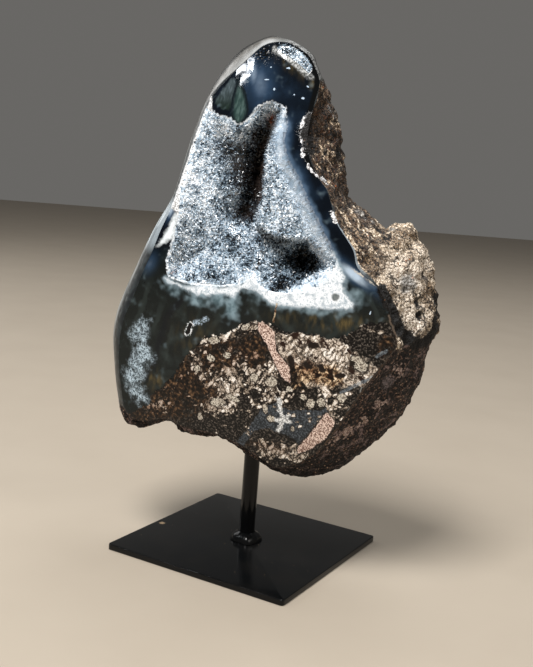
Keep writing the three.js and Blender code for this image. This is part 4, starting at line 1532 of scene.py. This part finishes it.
def sand_colour(f):
    """Weathered rind: beige below and brown above, with grey patches, dark slants, black holes that
    are partly dark grains and partly painted shade in the gaps, and cracks."""
    high = f.fade(f.along("Z"), 172, 186)
    umber = f.nudged(f.stored("umber"), f.grain(4, 4.0), 0.6)
    sand = f.blend(f.most(high, f.fade(umber, 0.2, 0.7)), pale_sand(f), brown_sand(f))
    ash_and_sheen = f.fade(f.nudged(f.stored("ash_and_sheen"), f.grain(3, 4.0), 0.7), 0.2, 0.6)
    sand = f.blend(f.times(ash_and_sheen, 0.8), sand, speckle(f, 0.8, tint(58, 60, 62), tint(164, 164, 162)))
    sand = f.blend(f.specks(1.8, 0.35, 0.03), sand, tint(170, 96, 50))
    slopes = f.grain(3.4, 4.0, f.drawn_out(f.place, -52, 1.9))
    slant = f.times(f.fade(f.along("X"), 60, 46), f.fade(f.along("Z"), 146, 152))
    dark = speckle(f, 1.1, tint(16, 11, 8), tint(88, 68, 50))
    sand = f.blend(f.times(slant, f.fade(slopes, 0.44, 0.53)), sand, dark)
    ways = f.cells(7, "Distance", f.wander(3, 2.0), "DISTANCE_TO_EDGE")
    ways = f.times(f.fade(ways, 0.09, 0.02), f.cloud(6, 3.0, 0.45, 0.55))
    # Dark holes: random dark grains, and painted shade where the gaps are.
    holes = f.sum(f.grain(1.3, 3.0), f.times(f.stored("gap"), 0.3))
    holes = f.fade(f.sum(holes, f.times(f.stored("pale"), -0.04)), 0.57, 0.63)
    return f.blend(f.times(f.most(holes, ways), 0.92), sand, BASALT)


def basalt_colour(f):
    """Broken basalt: brown black, with pale scars and specks, and a painted lilac sheen."""
    rock = f.ramp(f.grain(1.3, 5.0), [
        (0.45, tint(5, 2, 2)), (0.56, tint(32, 18, 14)), (0.72, tint(142, 112, 96))])
    patch = f.cloud(6, 5.0, 0.55, 0.62, 0.0, 0.75)
    rock = f.blend(patch, rock, speckle(f, 1.0, tint(36, 26, 25), tint(150, 128, 124)))
    rock = f.blend(f.fade(f.along("Z"), 66, 50, 0.0, 0.75), rock, tint(10, 5, 4))
    # Pale scars, and in part a painted lilac-brown highlight.
    scar_and_sheen = f.nudged(f.stored("scar_and_sheen"), f.grain(2.6, 5.0), 3.0)
    scar_and_sheen = f.times(f.fade(f.stored("scar_and_sheen"), 0.1, 0.4), f.fade(scar_and_sheen, 0.55, 0.8))
    rock = f.blend(f.times(scar_and_sheen, 0.9), rock, speckle(f, 0.8, tint(112, 90, 82), tint(206, 184, 174)))
    # Painted lilac sheen where the grey patches reach the basalt.
    ash_and_sheen = f.fade(f.nudged(f.stored("ash_and_sheen"), f.grain(2, 4.0), 1.0), 0.3, 0.6)
    rock = f.blend(f.times(ash_and_sheen, 0.7), rock, speckle(f, 0.8, tint(70, 62, 62), LILAC_SHEEN))
    return f.blend(f.specks(1.3, 0.4, 0.2), rock, tint(158, 132, 112))


def rind_colour(f):
    """Tan rind above, basalt below."""
    above = f.fade(f.nudged(f.stored("tan"), f.grain(3, 4.0), 8.0), -0.8, 0.8)
    return f.blend(above, basalt_colour(f), sand_colour(f))


def flank_colour(f):
    """Polished side beyond the edge of the face: a painted pale reflection on the cap, pale beside
    the hollow, dark with a pale line below. Behind the widest part it is dark banded agate."""
    turn = f.stored("turn")
    height = f.along("Z")
    agate = f.blend(f.cloud(3, 3.0, 0.4, 0.7), tint(12, 18, 22), tint(44, 52, 54))
    middle = f.times(f.fade(height, 146, 154), f.fade(height, 176, 170))
    agate = f.blend(f.times(middle, 0.7), agate, tint(150, 162, 170))
    strip = f.blend(f.zone("matrix", 0.35, 1.5), agate, speckle(f, 1.2, BASALT, BASALT_BROWN))
    start = f.fade(height, 222, 238, 1.3, 1.01)
    flank = f.fade(f.less(turn, start), 0.0, 0.06)
    soft = f.grain(6, 3.0, f.stretched(1, 1, 0.5))
    # Painted reflection: the cap's bevel pale grey, lightest by the face's edge, as if it mirrored
    # bright surroundings.
    pale = f.blend(f.fade(soft, 0.35, 0.65), tint(78, 76, 72), tint(126, 126, 124))
    pale = f.blend(f.fade(turn, 1.5, 1.05, 0.0, 0.45), pale, tint(176, 180, 182))
    pale = f.blend(f.fade(f.along("X"), -6, 2), pale, tint(66, 68, 66))
    cap = f.blend(f.fade(turn, 1.45, 1.75), pale, tint(24, 24, 23))
    dark = f.blend(f.cloud(2.4, 4.0, 0.4, 0.7), tint(30, 33, 34), tint(84, 88, 88))
    drawn = f.grain(5, 4.0, f.stretched(1, 1, 0.4))
    line = f.blend(f.fade(drawn, 0.35, 0.65), tint(98, 101, 100), tint(150, 152, 150))
    low = f.blend(f.fade(turn, 1.5, 1.75), dark, line)
    frosty = f.blend(f.fade(drawn, 0.35, 0.65), tint(112, 122, 128), tint(190, 200, 206))
    low = f.blend(middle, low, frosty)
    skin = f.blend(f.fade(height, 196, 212), low, cap)
    waves = f.sum(f.times(turn, 22.0), f.times(f.grain(16, 3.0), 9.0))
    band = f.fade(f.maths("SINE", waves), 0.0, 1.0)
    banded = f.blend(f.times(band, 0.4), GREEN_BLACK, tint(78, 92, 98))
    skin = f.blend(f.fade(turn, 1.92, 2.06), skin, banded)
    return f.blend(flank, strip, skin)


def edge_marks(f, colour):
    """White crust line, painted shade in the gaps and painted shadow in the crevice, which run along
    the broken edge of the face. Gives the colour and the share that is rough."""
    wide = f.cloud(4, 3.0, 0.38, 0.62, 0.2, 1.25)
    away = f.from_paths(WHITE_CRUST, f.flat(f.wander(1.4, 1.2)))
    crust = f.fade(f.less(away, wide), 0.0, -0.5)
    crust = f.times(crust, f.fade(f.stored("turn"), 1.4, 1.2))
    colour = f.blend(crust, colour, speckle(f, 0.7, tint(120, 116, 116), WHITE))
    # Painted shade in the sunk gaps.
    gap = f.nudged(f.stored("gap"), f.grain(1.5, 4.0), 0.9)
    gap = f.fade(gap, 0.42, 0.66)
    colour = f.blend(gap, colour, f.blend(f.specks(1.3, 0.35, 0.3), tint(10, 8, 7), UMBER))
    # Painted shadow in the crevice under the overhanging shoulder.
    black = f.fade(f.from_paths(CREVICE_SHADOW, f.flat(f.wander(3, 1.6))), 3.0, 1.8)
    black = f.times(black, f.fade(f.stored("turn"), 2.05, 1.9))
    colour = f.blend(black, colour, f.blend(f.specks(1.3, 0.3, 0.1), tint(8, 6, 5), UMBER))
    crevice = f.fade(f.from_paths(CREVICE_LINE, f.flat(f.wander(2, 0.9))), 0.7, 0.2, 0.0, 0.5)
    colour = f.blend(crevice, colour, tint(120, 104, 90))
    return colour, f.most(crust, f.times(gap, 0.8))


def face_finish():
    """The cut and polished front face."""
    f = Finish("cut agate and basalt")
    ragged = f.wander(2.0, 0.7)
    flat = f.flat(ragged)
    matrix = f.zone("matrix", 0.35, 2.2, 2.6)
    colour = f.blend(matrix, agate_colour(f, flat), matrix_colour(f, ragged, flat))
    colour = f.blend(f.zone("lip", 0.5, 1.0), colour, speckle(f, 0.8, ASH, WHITE))
    # Painted highlight: a thin pale line along the polished edge beside the shoulder.
    line = f.fade(f.from_paths(SHOULDER_EDGE_HIGHLIGHT, f.flat(f.wander(1.4, 0.9))), 0.7, 0.2)
    line = f.times(line, f.cloud(3, 3.0, 0.4, 0.6, 0.1, 0.9))
    colour = f.blend(line, colour, tint(206, 198, 184))
    colour, rough_part = edge_marks(f, colour)
    gloss = f.fade(matrix, 0.0, 1.0, 0.04, 0.3)
    roughness = f.sum(f.times(rough_part, 0.72), f.times(gloss, f.less(1.0, rough_part)))
    smear = f.bump(f.grain(9, 2.0), 0.04)
    relief = f.most(f.times(f.stored("gap"), 0.8), f.times(f.zone("matrix", 0.35), 0.25))
    normal = f.bump(f.times(relief, f.grain(0.9, 4.0)), 1.2, smear)
    return f.finish(colour, roughness, normal, IOR=1.34)


def rind_finish():
    """Sides and back: polished at the left, weathered and broken elsewhere."""
    f = Finish("weathered rind")
    polished = flank_colour(f)
    lip = f.times(f.zone("lip", 0.5, 1.0), f.fade(f.stored("turn"), 1.6, 1.4))
    polished = f.blend(lip, polished, speckle(f, 0.8, ASH, WHITE))
    over = f.times(f.fade(f.stored("crown"), -5.0, -3.4), f.fade(f.along("X"), -1, 5))
    over = f.times(over, f.fade(f.stored("turn"), 1.6, 1.45))
    polished = f.blend(over, polished, speckle(f, 0.9, tint(32, 34, 34), tint(140, 142, 142)))
    skin = f.fade(f.nudged(f.stored("skin"), f.grain(2, 3.0), 0.5), 0.35, 0.6)
    colour = f.blend(skin, polished, rind_colour(f))
    colour, rough_part = edge_marks(f, colour)
    rough_part = f.most(skin, f.most(over, rough_part))
    roughness = f.fade(rough_part, 0.0, 1.0, 0.42, 0.74)
    relief = f.sum(f.grain(1.0, 5.0), f.times(f.cells(1.4), -0.6))
    normal = f.bump(f.times(f.stored("skin"), relief), 1.4)
    return f.finish(colour, roughness, normal, IOR=1.46)


def quartz_finish():
    f = Finish("quartz crystals")
    near_rim = f.fade(f.stored("white"), -2.6, -0.4, 0.0, 0.8)
    near_rim = f.times(near_rim, f.fade(f.stored("shade"), 0.3, 0.9, 1.0, 0.1))
    frost = f.most(f.stored("frost"), near_rim)
    value = f.nudged(0.5, f.stored("tone"), 0.5)
    value = f.nudged(value, f.stored("glint"), 0.6)
    value = f.sum(value, f.times(frost, 0.32))
    # Painted shade where the crust lies in the slot, the hole and other recesses.
    value = f.sum(value, f.times(f.stored("shade"), -0.45))
    value = f.nudged(value, f.grain(5, 4.0), 1.25)
    # Painted shade: the crystals darker the deeper they lie in the hollow.
    value = f.sum(value, f.fade(f.stored("depth"), 14.0, 26.0, 0.0, -0.35))
    colour = f.ramp(value, [
        (0.0, tint(9, 11, 13)), (0.26, tint(66, 82, 96)), (0.54, tint(162, 181, 197)),
        (0.96, tint(246, 250, 254))])
    # A brown tint over the painted shade by the slot.
    warm = f.times(f.stored("warm"), f.cloud(5, 3.0, 0.35, 0.6, 0.0, 0.6))
    colour = f.blend(warm, colour, tint(62, 52, 48))
    milk = f.blend(f.cloud(4, 3.0, 0.35, 0.65), tint(158, 179, 199), tint(212, 224, 236))
    milk = f.blend(f.fade(f.stored("margin"), 3.0, 0.0, 0.0, 0.8), milk, tint(84, 104, 126))
    colour = f.blend(f.times(f.stored("milk"), 0.85), colour, milk)
    rusty = f.times(f.stored("orange"), f.fade(f.stored("tone"), 0.3, 0.6))
    colour = f.blend(rusty, colour, tint(160, 78, 34))
    return f.finish(colour, f.fade(f.stored("tone"), 0.0, 1.0, 0.06, 0.25), IOR=1.5)


def paint_finish():
    f = Finish("gloss black paint")
    smudge = f.grain(18, 4.0)
    spot = f.fade(f.from_spot(SMUDGE, f.wander(2, 1)), 2.0, 0.8, 0.0, 0.8)
    dust = f.most(f.specks(3.5, 0.06, 0.3), spot)
    black = f.blend(f.fade(smudge, 0.4, 0.7, 0.0, 0.3), BLACK, tint(20, 18, 16))
    colour = f.blend(dust, black, tint(140, 120, 96))
    roughness = f.most(f.fade(smudge, 0.35, 0.7, 0.12, 0.24), f.times(dust, 0.7))
    normal = f.bump(f.grain(9, 3.0), 0.02)
    return f.finish(colour, roughness, normal, IOR=1.3)


def floor_finish():
    f = Finish("pale floor")
    return f.finish(f.blend(f.grain(60, 3.0), tint(152, 142, 128), tint(160, 150, 136)), 0.6)


# Studio

CAMERA_PLACE = (2.433, -474.206, 193.254)
CAMERA_DOWN = 9.837
CAMERA_ROLL = 4.3715
CAMERA_LENS = 52.42
AIM = Vector((0, -10, 140)) * MM
WINDOW_MIDDLE = Vector((-0.88, -0.23, 0.66))
WINDOW_ACROSS = Vector((0.37, -0.93, 0))
# Panes of the window: across and up from its middle, then width and height, in metres.
WINDOW_PANES = [
    (-0.035, -0.009, 0.15, 0.013),
    (0.105, 0.033, 0.12, 0.03),
    (0.052, -0.012, 0.15, 0.014),
]
WINDOW_TILT = math.radians(16)
WINDOW_BRIGHTNESS = 190
WINDOW_COLOUR = (0.92, 0.96, 1)
# Square lights: name, place and side in metres, power and colour.
LIGHTS = [
    ("key", (-0.35, -0.55, 1.3), 0.5, 32, (1, 0.98, 0.96)),
    ("side", (0.95, -0.6, 0.7), 0.5, 3, (1, 0.96, 0.9)),
    ("top", (0.35, 0.6, 1.6), 1.0, 11, (1, 1, 1)),
    ("rear", (-1.0, 0.8, 0.7), 0.6, 4, (1, 1, 1)),
]
SKY_COLOUR = (1.0, 0.97, 0.92, 1)
SKY_BRIGHTNESS = 0.14
FLOOR_REACH = 3000


def make_camera():
    data = bpy.data.cameras.new("camera")
    data.lens = CAMERA_LENS
    data.sensor_width = 36
    data.clip_start = 0.01
    camera = add_object("camera", data)
    tip = Matrix.Rotation(math.radians(90 - CAMERA_DOWN), 4, "X")
    roll = Matrix.Rotation(math.radians(CAMERA_ROLL), 4, "Z")
    camera.matrix_world = Matrix.Translation(Vector(CAMERA_PLACE) * MM) @ tip @ roll
    bpy.context.scene.camera = camera


def make_light(name, place, width, height, power, colour, tilt=0):
    data = bpy.data.lights.new(name, "AREA")
    data.shape = "RECTANGLE"
    data.size = width
    data.size_y = height
    data.energy = power
    data.color = colour
    lamp = add_object(name, data)
    turned = (AIM - place).to_track_quat("-Z", "Y").to_matrix() @ Matrix.Rotation(tilt, 3, "Z")
    lamp.matrix_world = Matrix.Translation(place) @ turned.to_4x4()


def make_window():
    """Panes of a bright window, seen as the highlight on the cap."""
    across = WINDOW_ACROSS.normalized()
    for right, up, width, height in WINDOW_PANES:
        place = WINDOW_MIDDLE + right * across + Vector((0, 0, up))
        power = WINDOW_BRIGHTNESS * width * height
        make_light("pane", place, width, height, power, WINDOW_COLOUR, WINDOW_TILT)


def make_floor():
    far = FLOOR_REACH
    corners = [(-far, -far, 0), (far, -far, 0), (far, far, 0), (-far, far, 0)]
    floor = new_piece("floor", corners, [(0, 1, 2, 3)])
    floor.data.materials.append(floor_finish())
    floor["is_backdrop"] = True


def make_sky():
    world = bpy.data.worlds.new("studio")
    bpy.context.scene.world = world
    world.use_nodes = True
    sky = world.node_tree.nodes["Background"]
    sky.inputs["Color"].default_value = SKY_COLOUR
    sky.inputs["Strength"].default_value = SKY_BRIGHTNESS


def make_studio():
    make_floor()
    make_sky()
    for name, place, side, power, colour in LIGHTS:
        make_light(name, Vector(place), side, side, power, colour)
    make_window()
    make_camera()
    bpy.context.scene.view_settings.view_transform = "Standard"


# Assembly

def dress(piece, finishes, slot, *nodes):
    piece.data.materials.clear()
    for finish in finishes:
        piece.data.materials.append(finish)
    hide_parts(*nodes)
    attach(piece, "root")


def make_geode():
    stone = make_stone()
    dress(stone, [face_finish(), rind_finish()], "agate", "geode_stone")
    finish_behind_edge(stone, 1)
    quartz = quartz_finish()
    tree = crystal_tree()
    sizes = {"Spacing": POINT_SPACING * MM, "Size": POINT_SIZE * MM, "Lean": POINT_LEAN}
    druse = make_crust("druse", HOLLOW_MOUTH, CRUST_PITCH, hollow_depth)
    dress(grow_crystals(druse, tree, quartz, **sizes), [quartz], "quartz", "quartz_druse")
    crown = make_crust("crown", CROWN_MOUTH, 0.5 * CRUST_PITCH, crown_depth)
    dress(grow_crystals(crown, tree, quartz, **sizes), [quartz], "quartz", "crown_druse")


def make_stand():
    paint = paint_finish()
    dress(make_plate(), [paint], "black_paint", "base_plate")
    dress(make_post(), [paint], "black_paint", "post")
    dress(make_weld(), [paint], "black_paint", "weld_bead")


make_studio()
make_geode()
make_stand()
corners = lambda box: [list(corner) for corner in box]
{"cad": corners(cad_box), "visual": corners(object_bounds())}
